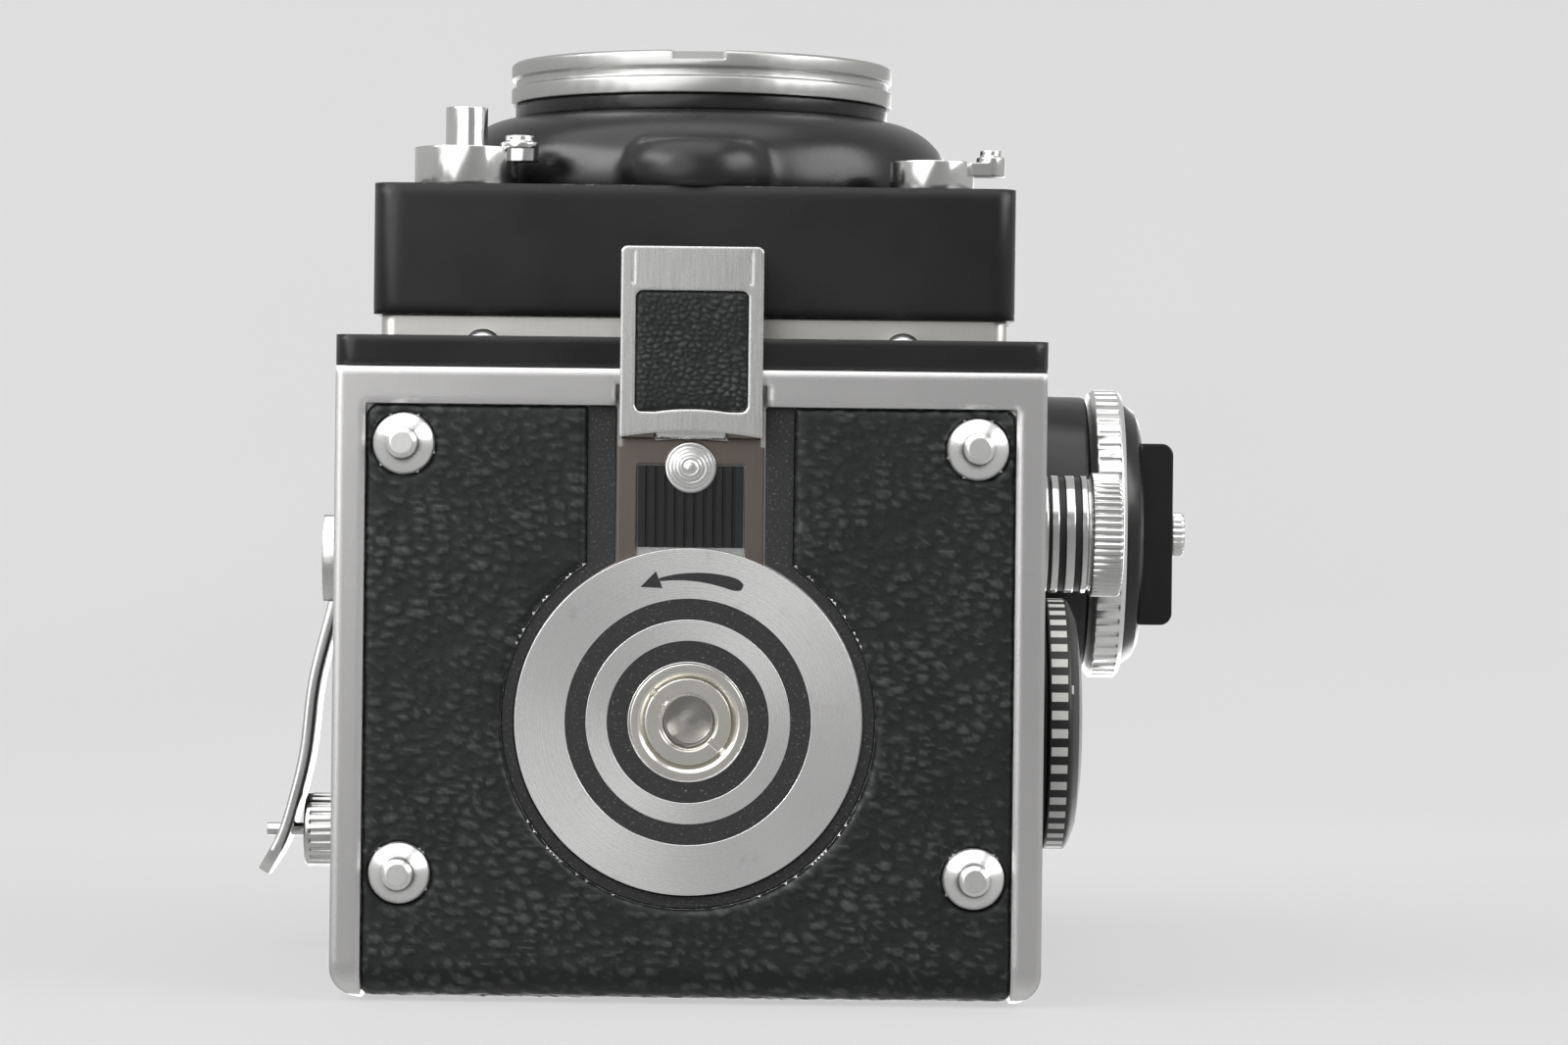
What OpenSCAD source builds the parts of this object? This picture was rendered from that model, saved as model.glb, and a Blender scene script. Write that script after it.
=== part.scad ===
// Twin lens reflex camera, built as an assembly of separate pieces.
// Millimetres. The lenses face -Y, the back opens at +Y, and +Z is up.
// +X is the side of the focusing knob and -X is the side of the winding crank.
// The origin is the centre of the tripod socket's mouth, on the base.

/* [Body] */
// Outside width over the leather
body_w = 78; // [77.6:0.2:78.4]
// Height of the body's top above the base
body_h = 122; // [121.6:0.2:122.4]
// Front edge of the cast body, ahead of the tripod socket
body_front = -38.6; // [-38.8:0.1:-38.4]
// Rear face of the closed back
body_rear = 30.8; // [30.6:0.1:31]
// Thickness of the cast walls
wall = 1.8; // [1.6:0.1:2]
// Thickness of the side leather
leather_t = 0.8; // [0.6:0.1:0.9]
// Radial clearance of the turning and sliding fits
run_fit = 0.06; // [0.04:0.01:0.09]
// Height of the feet below the base
foot_h = 3; // [2.5:0.1:3.2]

/* [Front standard] */
// Width of the moving front housing
front_w = 71.6; // [71.4:0.1:71.8]
// Lowest edge of the moving front housing
front_z0 = 7.7; // [7.5:0.1:7.9]
// Highest edge of the moving front housing
front_z1 = 105.4; // [105:0.1:105.8]
// Forward face of the moving front housing
front_y = -59.3; // [-59.5:0.1:-59.1]
// Depth of the moving front housing
front_d = 14.6; // [14.4:0.1:14.8]
// Focusing travel of the front
focus_travel = 5.5; // [4:0.5:5.5]

/* [Lenses] */
// Height of the taking lens axis
taking_z = 41; // [40.8:0.1:41.2]
// Height of the viewing lens axis
viewing_z = 83; // [82.8:0.1:83.2]
// Inside radius of the lens bayonets
bayonet_r = 19.5; // [19.3:0.1:19.7]
// Number of shutter blades
blades = 5; // [3:1:7]

/* [Base latch] */
// Radius of the turning lock disc
disc_r = 19; // [18.8:0.1:19]
// Turn of the lock disc from closed to open, in degrees
disc_turn = 75; // [60:5:80]
// Travel of the latch slide
slide_travel = 3; // [2.5:0.1:3]
// Half width of the latch slide
slide_x = 8.05; // [7.95:0.05:8.05]
// Number of ribs on the slide's grip
grip_ribs = 11; // [7:1:13]
// Bore radius of the 1/4 inch tripod thread
thread_r = 3.175; // [3.1:0.025:3.2]
// Outside radius of the 3/8 inch adapter
adapter_r = 4.76; // [4.7:0.02:4.8]

/* [Controls] */
// Radius of the focusing knob's ring
focus_r = 18.5; // [18.2:0.1:18.8]
// Number of flutes on the focusing knob
focus_flutes = 54; // [40:1:60]
// Turn of the focusing knob over its whole travel, in degrees
focus_turn = 290; // [240:5:290]
// Radius of the film type dial
dial_r = 15.4; // [15:0.1:15.6]
// Radius of the aperture and shutter wheels
wheel_r = 7.3; // [7:0.1:7.4]
// Radius of the crank's knurled handle
handle_r = 4.5; // [4.3:0.1:4.5]

/* [Winding gears] */
// Teeth on the crank's gear
crank_teeth = 24; // [24:1:24]
// Teeth on the idler between the crank and the spool
idler_teeth = 14; // [14:1:14]
// Teeth on the take-up spool's gear
spool_teeth = 17; // [17:1:17]
// Radius of the spool flanges
spool_r = 12.5; // [12:0.1:12.5]

/* [Hood] */
// Length of the side flaps, from the hinge to the free edge
flap_len = 24.5; // [23.5:0.5:24.5]
// Height of the lid's hinge above the body's top
lid_rise = 16.4; // [16.4:0.1:17]
// Radius of the magnifier's lens
magnifier_r = 9.2; // [8.8:0.1:9.4]

/* [Hidden] */

$fn = 72;
eps = 0.01;
// Overshoot of cutting solids past the surface that they cut
cut = 1;

// Body
half_w = body_w / 2;
shell_x = half_w - leather_t;
cavity_x = shell_x - wall;
shell_z0 = 3.6;
shell_rear = body_rear - 2.6;
front_wall_y = body_front + 2;
screen_y = -2;
screen_half = 29.3;
screen_seat = 28.5;
opening_x = 35.3;
opening_z = [8.6, 105];
plate_y = body_front - 0.1;
plate_t = 3.4;
plate_front = plate_y - plate_t;
plate_z = [0.6, body_h - 0.5];
screw_x = 23.2;
screw_r = 1.8;
screw_z = [4.5, 113];
lug_at = [-6, 113];
lug_r = 1.5;
gate_y = 25;
gate_t = 1.4;
gate_z = [12, 69.2];
frame_half = 27;

// Back
cover_floor = 3.2;
cover_back = 2.2;
cover_top = 115.5;
cover_fillet = 4;
rail_side = 3.3;
rail_front = 4;
bed_d = 0.9;
bed_leather_t = 0.65;
hinge_at = [body_rear - 0.2, 118.2];
hinge_r = 1.6;
hinge_pin_r = 0.75;
hinge_half = 20;
hinge_end = 27;
foot_x = 31.5;
foot_y = [-30.2, 16.9];

// Base latch
pocket_r = 20.6;
pocket_x = 11.4;
pocket_z = 2.3;
channel_x = 8.2;
notch_x = 8.3;
notch_y = -36.9;
slide_z = [1.1, 2.1];
slide_y = [-31, -12.2];
window_x = 5.9;
window_y = [-28.2, -17.8];
button_y = -27.9;
button_r = 2.75;
peg_y = -13.5;
peg_r = 0.8;
groove_half = 1;
socket_r = 6.4;
latch_hinge = [-31.8, -0.3];
latch_r = 0.85;
latch_pin_r = 0.55;
arm_x = 7.8;
arm_y = [-52, -33.2];
arm_z = [-1.5, -0.2];
catch_z = [3.2, 5.2];

// Front standard
front_x = front_w / 2;
board_wall = 1.8;
frame_x = 34.9;
frame_wall = 1.3;
frame_y = [front_y + front_d, -34.6];
frame_z = [9, 104.6];
taking_r = 21.5;
taking_bore = 17;
viewing_r = 18.2;
viewing_bore = 15;
dome_y = -68.8;
view_dome_y = -66;
release_at = [-25.9, 14.5];
release_r = 2.35;
sync_at = [26.5, 14.5];
wheel_x = 28.5;
wheel_z = 66;
stem_r = 1.6;

// Knobs on the sides
focus_at = [-21, 92];
focus_sleeve_r = 5;
post_r = 3;
drum_x = 48.8;
cam_r0 = 5.5;
cam_x = [33, 35];
cam_gap = 0.25;
dial_at = [2.4, 64];
dial_shaft_r = 2;
feed_at = [-21, 17];
takeup_at = [15, 77];
roller_at = [22.5, 8.2];
spool_x = 32.75;
spool_pin_r = 2.5;
sleeve_r = 4.5;
crank_at = [-17, 66];
crank_shaft_r = 4;
gear_x = [-36.2, -34.6];
arm_pivot_x = -43.5;
handle_y = 16.5;

// Hood
lid_at = [-33.6, body_h + lid_rise];
lid_pin_r = 0.55;
flap_at = [32.6, body_h + 9.5];
rear_flap_at = [27, body_h + 6];
flap_pin_r = 0.5;
flap_knuckle_r = 1;
magnifier_hinge = [-12.6, body_h + 14.6];
magnifier_y = 15.5;

// ---- Helpers ----

// A box given by its lowest and highest corners
module block(lo, hi) {
    translate(lo) cube(hi - lo);
}

// A flat shape drawn in Y and Z, carried from x0 to x1
module along_x(x0, x1) {
    translate([x0, 0, 0]) rotate([90, 0, 90]) linear_extrude(x1 - x0) children();
}

// A flat shape drawn in X and Z, carried from y0 to y1
module along_y(y0, y1) {
    translate([0, y1, 0]) rotate([90, 0, 0]) linear_extrude(y1 - y0) children();
}

// A flat shape drawn in X and Y, carried from z0 to z1
module along_z(z0, z1) {
    translate([0, 0, z0]) linear_extrude(z1 - z0) children();
}

// A round bar along X, centred on at = [y, z]
module rod_x(x0, x1, at, r) {
    translate([x0, at[0], at[1]]) rotate([0, 90, 0]) cylinder(h = x1 - x0, r = r);
}

// A round bar along Y, centred on at = [x, z]
module rod_y(y0, y1, at, r) {
    translate([at[0], y1, at[1]]) rotate([90, 0, 0]) cylinder(h = y1 - y0, r = r);
}

// A round bar along Z, centred on at = [x, y]
module rod_z(z0, z1, at, r) {
    translate([at[0], at[1], z0]) cylinder(h = z1 - z0, r = r);
}

// A turned piece facing forward; the outline's points are [radius, Y]
module turned_y(at, outline) {
    translate([at[0], 0, at[1]]) rotate([90, 0, 0]) rotate_extrude()
        polygon([for (p = outline) [p[0], -p[1]]]);
}

// A turned piece on the +X side; the outline's points are [radius, X]
module turned_x(at, outline) {
    translate([0, at[0], at[1]]) rotate([0, 90, 0]) rotate_extrude() polygon(outline);
}

// A rectangle with rounded corners, given by its lowest and highest corners
module rounded(lo, hi, r) {
    translate([lo[0] + r, lo[1]]) square([hi[0] - lo[0] - 2 * r, hi[1] - lo[1]]);
    translate([lo[0], lo[1] + r]) square([hi[0] - lo[0], hi[1] - lo[1] - 2 * r]);
    for (x = [lo[0] + r, hi[0] - r], y = [lo[1] + r, hi[1] - r]) translate([x, y]) circle(r);
}

// The same thing at -x and at +x
module both_sides() {
    children();
    mirror([1, 0, 0]) children();
}

// Flutes cut round a knob that turns about X
module flutes(at, x0, x1, r, count, width) {
    for (i = [0 : count - 1])
        translate([0, at[0], at[1]]) rotate([i * 360 / count, 0, 0])
            rod_x(x0, x1, [r, 0], width);
}

// ---- Body ----

module body_casting() {
    difference() {
        block([-shell_x, body_front, shell_z0], [shell_x, shell_rear, body_h]);
        // Film chamber and mirror box, open behind and below
        block([-cavity_x, front_wall_y, shell_z0 - cut],
              [cavity_x, shell_rear + cut, body_h - 2.5]);
        block([-opening_x, body_front - cut, opening_z[0]],
              [opening_x, front_wall_y + cut, opening_z[1]]);
        block([-screen_seat, screen_y - screen_seat, body_h - 2.5 - cut],
              [screen_seat, screen_y + screen_seat, body_h + cut]);
    }
}

// Ledges at 45 degrees that carry the mirror
module mirror_ledge() {
    low = -4;
    high = 24;
    lift = viewing_z - screen_y;
    along_x(26, cavity_x) polygon([
        [low, low + lift - 2.2], [high, high + lift - 2.2],
        [high, high + lift - 4.4], [low, low + lift - 4.4]]);
}

// Bracket that carries the focusing knob's fixed post
module post_bracket() {
    z = [focus_at[1] - 4, focus_at[1] + 4];
    block([29.7, -25, z[0]], [31.2, -7, z[1]]);
    block([29.7, -9.2, z[0]], [cavity_x + eps, -7, z[1]]);
}

module roller_boss() {
    difference() {
        rod_x(34, cavity_x + eps, roller_at, 2.2);
        rod_x(33, cavity_x + cut, roller_at, 1.2 + run_fit);
    }
}

module back_hinge_knuckles() {
    both_sides() {
        rod_x(hinge_half + 0.3, hinge_end, hinge_at, hinge_r);
        block([hinge_half + 0.3, shell_rear - eps, hinge_at[1] - 1],
              [hinge_end, hinge_at[0], hinge_at[1] + hinge_r]);
    }
    rod_x(-hinge_half - 1, hinge_half + 1, hinge_at, hinge_pin_r);
}

module body_shell() {
    color("dimgray") difference() {
        union() {
            body_casting();
            both_sides() mirror_ledge();
            post_bracket();
            both_sides() roller_boss();
            back_hinge_knuckles();
            // Pins that carry the free ends of the two spools
            rod_x(-cavity_x - eps, -30, feed_at, spool_pin_r);
            rod_x(30, cavity_x + eps, takeup_at, spool_pin_r);
        }
        rod_x(cavity_x - cut, shell_x + cut, focus_at, focus_sleeve_r + run_fit);
        rod_x(cavity_x - cut, shell_x + cut, feed_at, sleeve_r + run_fit);
        rod_x(cavity_x - cut, shell_x + cut, dial_at, dial_shaft_r + run_fit);
        rod_x(-shell_x - cut, -cavity_x + cut, crank_at, crank_shaft_r + run_fit);
        // Blind bearings of the idler and of the take-up gear
        rod_x(-cavity_x - 1.3, -cavity_x + cut, idler_at, 2 + run_fit);
        rod_x(-cavity_x - 1.3, -cavity_x + cut, takeup_at, 2 + run_fit);
    }
}

module front_plate() {
    edge = half_w + 0.2;
    color([0.16, 0.17, 0.17]) {
        along_y(plate_front, plate_y) difference() {
            rounded([-edge, plate_z[0]], [edge, plate_z[1]], 2);
            translate([-opening_x, opening_z[0]])
                square([2 * opening_x, opening_z[1] - opening_z[0]]);
        }
        // Catch that the base latch hooks over
        block([-6.5, -49.5, catch_z[0]], [6.5, plate_front + eps, catch_z[1]]);
    }
}

module reflex_mirror() {
    lift = viewing_z - screen_y;
    color("lightsteelblue") along_x(-28, 28) polygon([
        [-24, -24 + lift], [24, 24 + lift],
        [24, 24 + lift - 2.1], [-24, -24 + lift - 2.1]]);
}

module focusing_screen() {
    color([0.85, 0.88, 0.86]) block(
        [-screen_half, screen_y - screen_half, body_h],
        [screen_half, screen_y + screen_half, body_h + 2]);
}

module film_gate() {
    color([0.12, 0.12, 0.12]) difference() {
        block([-cavity_x, gate_y, gate_z[0]], [cavity_x, gate_y + gate_t, gate_z[1]]);
        block([-frame_half, gate_y - cut, taking_z - frame_half],
              [frame_half, gate_y + gate_t + cut, taking_z + frame_half]);
    }
}

// One side's leather, with round windows listed as [y, z, radius]
module side_leather(windows) {
    color([0.1, 0.1, 0.1]) difference() {
        along_x(shell_x, half_w) rounded([-38, 5], [28, 118], 1);
        for (w = windows) rod_x(shell_x - cut, half_w + cut, [w[0], w[1]], w[2]);
    }
}

module side_leathers() {
    side_leather([
        [feed_at[0], feed_at[1], 8], [focus_at[0], focus_at[1], 19.5],
        [dial_at[0], dial_at[1], 16], [lug_at[0], lug_at[1], 3.2]]);
    mirror([1, 0, 0])
        side_leather([[crank_at[0], crank_at[1], 13], [lug_at[0], lug_at[1], 3.2]]);
}

module front_screws() {
    dome_r = 2.25;
    proud = 0.9;
    color("silver") for (x = [-screw_x, screw_x], z = screw_z) difference() {
        intersection() {
            translate([x, plate_front - proud + dome_r, z]) sphere(dome_r);
            rod_y(plate_front - 2, plate_front, [x, z], screw_r);
        }
        block([x - screw_r, plate_front - proud - cut, z - 0.25],
              [x + screw_r, plate_front - proud + 0.5, z + 0.25]);
    }
}

module name_plate() {
    color([0.2, 0.2, 0.2]) along_y(plate_front - 0.9, plate_front)
        rounded([-30, 106.5], [30, 108.5], 0.5);
}

module strap_lugs() {
    color("silver") both_sides() turned_x(lug_at, [
        [0, shell_x], [lug_r, shell_x], [lug_r, shell_x + 4],
        [2.8, shell_x + 4.6], [2.8, shell_x + 5.4], [2.2, shell_x + 5.8], [0, shell_x + 5.8]]);
}

// ---- Back ----

// The back's side view, drawn smaller by inset on its outside
module cover_outline(inset, front) {
    r = cover_fillet - inset;
    rear = body_rear - inset;
    difference() {
        translate([front, inset]) square([rear - front, cover_top + cut]);
        difference() {
            translate([rear - r, inset - cut]) square([r + cut, r + cut]);
            translate([rear - r, inset + r]) circle(r);
        }
    }
}

module cover_bed(inset0, inset1, side, front, top) {
    along_x(-side, side) intersection() {
        difference() {
            cover_outline(inset0, front);
            translate([-eps, 0]) cover_outline(inset1, front - 2 * cut);
        }
        translate([front, -cut]) square([body_rear + cut - front, top + cut]);
    }
}

module back_hinge_barrel() {
    rod_x(-hinge_half, hinge_half, hinge_at, hinge_r);
    block([-hinge_half, hinge_at[0] - 1.2, cover_top - eps],
          [hinge_half, body_rear, hinge_at[1]]);
}

module back_cover() {
    front = body_front;
    color([0.72, 0.73, 0.73]) difference() {
        union() {
            intersection() {
                along_x(-half_w, half_w) intersection() {
                    difference() {
                        cover_outline(0, front);
                        translate([front - cut, cover_floor])
                            square([body_rear - cover_back - front + cut, cover_top]);
                    }
                    translate([front, 0]) square([body_rear - front, cover_top]);
                }
                along_z(-cut, cover_top + cut) union() {
                    rounded([-half_w, 0], [half_w, body_rear], 3.5);
                    translate([-half_w, front - cut]) square([body_w, -front + 10]);
                }
            }
            back_hinge_barrel();
        }
        cover_bed(-cut, bed_d, half_w - rail_side, front + rail_front, cover_top - 2.5);
        // Pocket of the latch channel and the lock disc
        block([-pocket_x, front + rail_front - eps, -cut], [pocket_x, 0, pocket_z]);
        rod_z(-cut, pocket_z, [0, 0], pocket_r);
        block([-notch_x, notch_y, -cut], [notch_x, 0, pocket_z]);
        rod_z(-cut, cover_floor + cut, [0, 0], socket_r);
        rod_x(-hinge_half - cut, hinge_half + cut, hinge_at, hinge_pin_r + 0.05);
    }
}

module back_leather() {
    front = body_front + rail_front;
    margin = 0.1;
    color([0.09, 0.09, 0.09]) difference() {
        cover_bed(bed_d - bed_leather_t, bed_d, half_w - rail_side - margin,
                  front + margin, cover_top - 2.5 - margin);
        block([-pocket_x, front - cut, -cut], [pocket_x, 0, pocket_z]);
        rod_z(-cut, pocket_z, [0, 0], pocket_r);
        for (x = [-foot_x, foot_x], y = foot_y) rod_z(-cut, pocket_z, [x, y], 3.45);
    }
}

module latch_channel() {
    z = [0.9, 2.2];
    color([0.08, 0.08, 0.08]) difference() {
        union() {
            block([0.1 - pocket_x, body_front + rail_front + 0.1, z[0]],
                  [pocket_x - 0.1, 0, z[1]]);
            rod_z(z[0], z[1], [0, 0], pocket_r - 0.1);
        }
        rod_z(z[0] - cut, z[1] + cut, [0, 0], disc_r + 0.2);
        block([-channel_x, body_front, z[0] - cut], [channel_x, 0, z[1] + cut]);
    }
}

module feet() {
    nub_r = 1.75;
    color([0.75, 0.75, 0.75]) for (x = [-foot_x, foot_x], y = foot_y)
        translate([x, y, 0]) mirror([0, 0, 1]) rotate_extrude() polygon([
            [0, -bed_d], [3.35, -bed_d], [3.35, 0], [nub_r + 0.3, 1.1], [nub_r, 1.5],
            [nub_r, foot_h - 0.5], [nub_r - 0.5, foot_h], [0, foot_h]]);
}

module pressure_plate() {
    y = [26.6, 27.6];
    color([0.15, 0.15, 0.15]) {
        block([-32, y[0], 10], [32, y[1], 71]);
        // Leaf springs behind the plate
        for (z = [26, 54]) block([-20, y[1] - eps, z], [20, y[1] + 0.5, z + 5]);
    }
}

// ---- Base latch ----

module spiral_groove() {
    steps = 25;
    path = [for (i = [0 : steps]) let (t = i / steps, a = disc_turn * t - 90)
        [-peg_y + slide_travel * t, a]];
    side = [for (p = path) (p[0] + groove_half) * [cos(p[1]), sin(p[1])]];
    other = [for (i = [steps : -1 : 0])
        (path[i][0] - groove_half) * [cos(path[i][1]), sin(path[i][1])]];
    along_z(0.5, 1 + cut) {
        polygon(concat(side, other));
        for (i = [0, steps])
            translate(path[i][0] * [cos(path[i][1]), sin(path[i][1])]) circle(groove_half);
    }
}

module ring_groove(r0, r1, depth) {
    difference() {
        rod_z(-cut, depth, [0, 0], r1);
        rod_z(-2 * cut, depth + cut, [0, 0], r0);
    }
}

module lock_disc() {
    color([0.78, 0.78, 0.77]) difference() {
        rod_z(0, 1, [0, 0], disc_r);
        rod_z(-cut, 2, [0, 0], socket_r + run_fit);
        ring_groove(11.2, 13.5, 0.25);
        ring_groove(6.6, 8.9, 0.25);
        spiral_groove();
    }
}

module tripod_socket() {
    color([0.8, 0.8, 0.8]) difference() {
        union() {
            rod_z(0, 6.2, [0, 0], socket_r);
            rod_z(1.15, pocket_z, [0, 0], 9.5);
        }
        rod_z(-cut, 6.2 + cut, [0, 0], adapter_r);
        translate([0, 0, -eps]) cylinder(h = 0.8, r1 = adapter_r + 0.8, r2 = adapter_r);
    }
}

module socket_adapter() {
    slot = 0.6;
    color([0.72, 0.62, 0.42]) difference() {
        rod_z(0.2, 6.2, [0, 0], adapter_r);
        rod_z(-cut, 6.2 + cut, [0, 0], thread_r);
        rotate([0, 0, 40]) block([-adapter_r, -slot / 2, -cut], [adapter_r, slot / 2, 0.9]);
    }
}

module latch_slide() {
    arc_r = 38;
    color([0.55, 0.54, 0.52]) difference() {
        union() {
            intersection() {
                block([-slide_x, slide_y[0], slide_z[0]], [slide_x, slide_y[1], slide_z[1]]);
                rod_z(slide_z[0], slide_z[1], [0, slide_y[0] + arc_r], arc_r);
            }
            // Peg that runs in the lock disc's spiral
            rod_z(0.6, slide_z[0] + eps, [0, peg_y], peg_r);
            // Ears of the latch arm's hinge
            both_sides() {
                rod_x(4, 7.6, latch_hinge, latch_r);
                block([4, latch_hinge[0] - latch_r, latch_hinge[1]],
                      [7.6, latch_hinge[0] + latch_r - 0.15, slide_z[1]]);
                block([4, latch_hinge[0], slide_z[0]], [7.6, window_y[0] - 0.5, slide_z[1]]);
            }
            rod_x(-4.2, 4.2, latch_hinge, latch_pin_r);
            // Push button on the window's front edge
            translate([0, button_y, 0]) mirror([0, 0, 1]) rotate_extrude() polygon([
                [0, -slide_z[0] - eps], [button_r, -slide_z[0] - eps], [button_r, -0.5],
                [2.1, -0.2], [1.7, 0.3], [1.1, 0.6], [0, 0.6]]);
        }
        difference() {
            block([-window_x, window_y[0], slide_z[0] - cut],
                  [window_x, window_y[1], slide_z[1] + cut]);
            rod_z(0, slide_z[1] + cut, [0, button_y], button_r);
        }
    }
}

// Ribbed thumb grip that fills the slide's window up to the lock disc
module latch_grip() {
    x = window_x - 0.1;
    y = [window_y[0] + 0.1, -disc_r - 0.1];
    bottom = slide_z[0] - 0.3;
    pitch = 2 * x / grip_ribs;
    color([0.07, 0.07, 0.07]) difference() {
        block([-x, y[0], bottom], [x, y[1], slide_z[1]]);
        rod_z(bottom - cut, slide_z[1] + cut, [0, button_y], button_r + 0.1);
        for (i = [1 : grip_ribs - 1])
            block([i * pitch - x - 0.2, y[0] - cut, bottom - cut],
                  [i * pitch - x + 0.2, y[1] + cut, bottom + 0.4]);
    }
}

// The leather's recess in the latch arm, drawn smaller by a margin
module arm_recess(margin) {
    difference() {
        rounded([margin - 6.2, -47.2 + margin], [6.2 - margin, -33.9], 0.8);
        translate([0, -8]) circle(26.2 + margin);
    }
}

module latch_arm() {
    edge_arc_r = 45;
    color([0.7, 0.7, 0.7]) difference() {
        union() {
            along_z(arm_z[0], arm_z[1])
                rounded([-arm_x, arm_y[0]], [arm_x, arm_y[1]], 0.7);
            // Thin edge that hides the hinge
            along_z(arm_z[0], arm_z[0] + 0.3) difference() {
                translate([-arm_x, arm_y[1] - 2]) square([2 * arm_x, 4.2]);
                translate([0, latch_hinge[0] + edge_arc_r]) circle(edge_arc_r);
            }
            // Upturned flanges and lip at the hook end
            difference() {
                along_z(arm_z[1] - eps, 2.4) rounded([-arm_x, arm_y[0]], [arm_x, -45.4], 0.7);
                block([-6.9, arm_y[0] + 0.9, arm_z[1]], [6.9, -45, 3]);
            }
            // Knuckle between the slide's ears
            rod_x(-3.8, 3.8, latch_hinge, latch_r);
            block([-3.8, arm_y[1] - 1, arm_z[0] + 0.3 - eps], [3.8, latch_hinge[0], arm_z[1]]);
        }
        along_z(arm_z[0] - cut, arm_z[0] + 0.5) arm_recess(0);
        // Creases beside the flanges
        both_sides()
            block([6.35, arm_y[0] + 0.5, arm_z[0] - cut], [6.55, -47.9, arm_z[0] + 0.12]);
        rod_x(-5, 5, latch_hinge, latch_pin_r + 0.05);
    }
}

module latch_arm_leather() {
    color([0.06, 0.06, 0.06]) along_z(arm_z[0] - 0.1, arm_z[0] + 0.5) arm_recess(0.1);
}

// ---- Front standard ----

// Bar that the focusing cam pushes
module cam_follower() {
    block([cam_x[0], frame_y[1] - 1, focus_at[1] - 1],
          [cam_x[1] - 0.2, focus_at[0] - cam_r0 - cam_gap, focus_at[1] + 1]);
}

module standard_frame() {
    color([0.7, 0.71, 0.72]) {
        along_y(frame_y[0], frame_y[1]) difference() {
            rounded([-frame_x, frame_z[0]], [frame_x, frame_z[1]], 1.5);
            rounded([frame_wall - frame_x, frame_z[0] + frame_wall],
                    [frame_x - frame_wall, frame_z[1] - frame_wall], 0.8);
        }
        cam_follower();
    }
}

module lens_board() {
    inner_x = front_x - board_wall;
    color([0.13, 0.13, 0.13]) difference() {
        along_y(front_y, front_y + front_d)
            rounded([-front_x, front_z0], [front_x, front_z1], 2.5);
        along_y(front_y + board_wall, front_y + front_d + cut)
            rounded([-inner_x, front_z0 + board_wall], [inner_x, front_z1 - board_wall], 1.2);
        // The light's way through both lenses
        rod_y(front_y - cut, front_y + 3, [0, taking_z], taking_r);
        rod_y(front_y - cut, front_y + 3, [0, viewing_z], viewing_bore);
        rod_y(front_y - cut, front_y + 3, release_at, release_r + run_fit);
        for (at = [sync_at, [-wheel_x, wheel_z], [wheel_x, wheel_z]])
            rod_y(front_y - cut, front_y + 3, at, stem_r + run_fit);
    }
}

module lens_surround() {
    color([0.1, 0.1, 0.1]) difference() {
        union() {
            turned_y([0, taking_z], [
                [0, front_y], [30, front_y], [29.6, front_y - 3], [28.6, front_y - 5.8],
                [26.9, front_y - 8], [24.3, dome_y], [0, dome_y]]);
            turned_y([0, viewing_z], [
                [0, front_y], [22, front_y], [21.8, front_y - 3], [21.2, front_y - 5],
                [19.6, view_dome_y], [0, view_dome_y]]);
            turned_y([0, 20], [
                [0, front_y], [9.3, front_y], [9.3, front_y - 4.2], [8.4, front_y - 5.5],
                [0, front_y - 5.5]]);
        }
        rod_y(dome_y - cut, front_y + cut, [0, taking_z], taking_r);
        rod_y(view_dome_y - cut, front_y + cut, [0, viewing_z], viewing_bore);
        // Clearance round the viewing lens's ring
        rod_y(dome_y - cut, view_dome_y, [0, viewing_z], viewing_r + 0.1);
    }
}

module taking_barrel() {
    color([0.12, 0.12, 0.12]) turned_y([0, taking_z], [
        [taking_bore, front_y + 1], [taking_r, front_y + 1], [taking_r, dome_y],
        [taking_r + 0.4, dome_y], [taking_r + 0.4, dome_y - 1.9], [19, dome_y - 1.9],
        [17.8, dome_y], [taking_bore, dome_y + 0.2]]);
}

// A lens bayonet, with its groove and three entry notches
module bayonet(z, y0, y1, outer, inner) {
    groove = (y0 + y1) / 2;
    difference() {
        turned_y([0, z], [
            [inner, y1], [outer, y1], [outer, groove + 0.6], [outer - 0.5, groove + 0.4],
            [outer - 0.5, groove - 0.4], [outer, groove - 0.6], [outer, y0 + 0.3],
            [outer - 0.3, y0], [inner, y0]]);
        for (i = [0 : 2]) translate([0, 0, z]) rotate([0, i * 120, 0])
            block([-3, y0 - cut, -outer - cut], [3, y0 + 1.1, 0.6 - outer]);
    }
}

module taking_bayonet() {
    color([0.75, 0.75, 0.76])
        bayonet(taking_z, dome_y - 6.7, dome_y - 1.9, taking_r + 0.9, bayonet_r);
}

// Points of a shallow arc from the axis out to radius r, bowed by sag towards dir
function bow(r, sag, base, dir) =
    let (curve = (r * r + sag * sag) / (2 * sag))
    [for (i = [0 : 8]) let (x = r * i / 8)
        [x, base + dir * (sqrt(curve * curve - x * x) - curve + sag)]];

// A lens element whose front is bowed; sag is how far its middle stands proud of y0
module element(z, y0, y1, r, sag) {
    turned_y([0, z], concat(bow(r, sag, y0, -1), [[r, y1], [0, y1]]));
}

module taking_glass() {
    color([0.5, 0.6, 0.75, 0.5]) {
        element(taking_z, dome_y + 1.6, dome_y + 5, taking_bore, 1.4);
        element(taking_z, front_y + 3, front_y + 5.5, 11.9, 0.8);
    }
}

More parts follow.
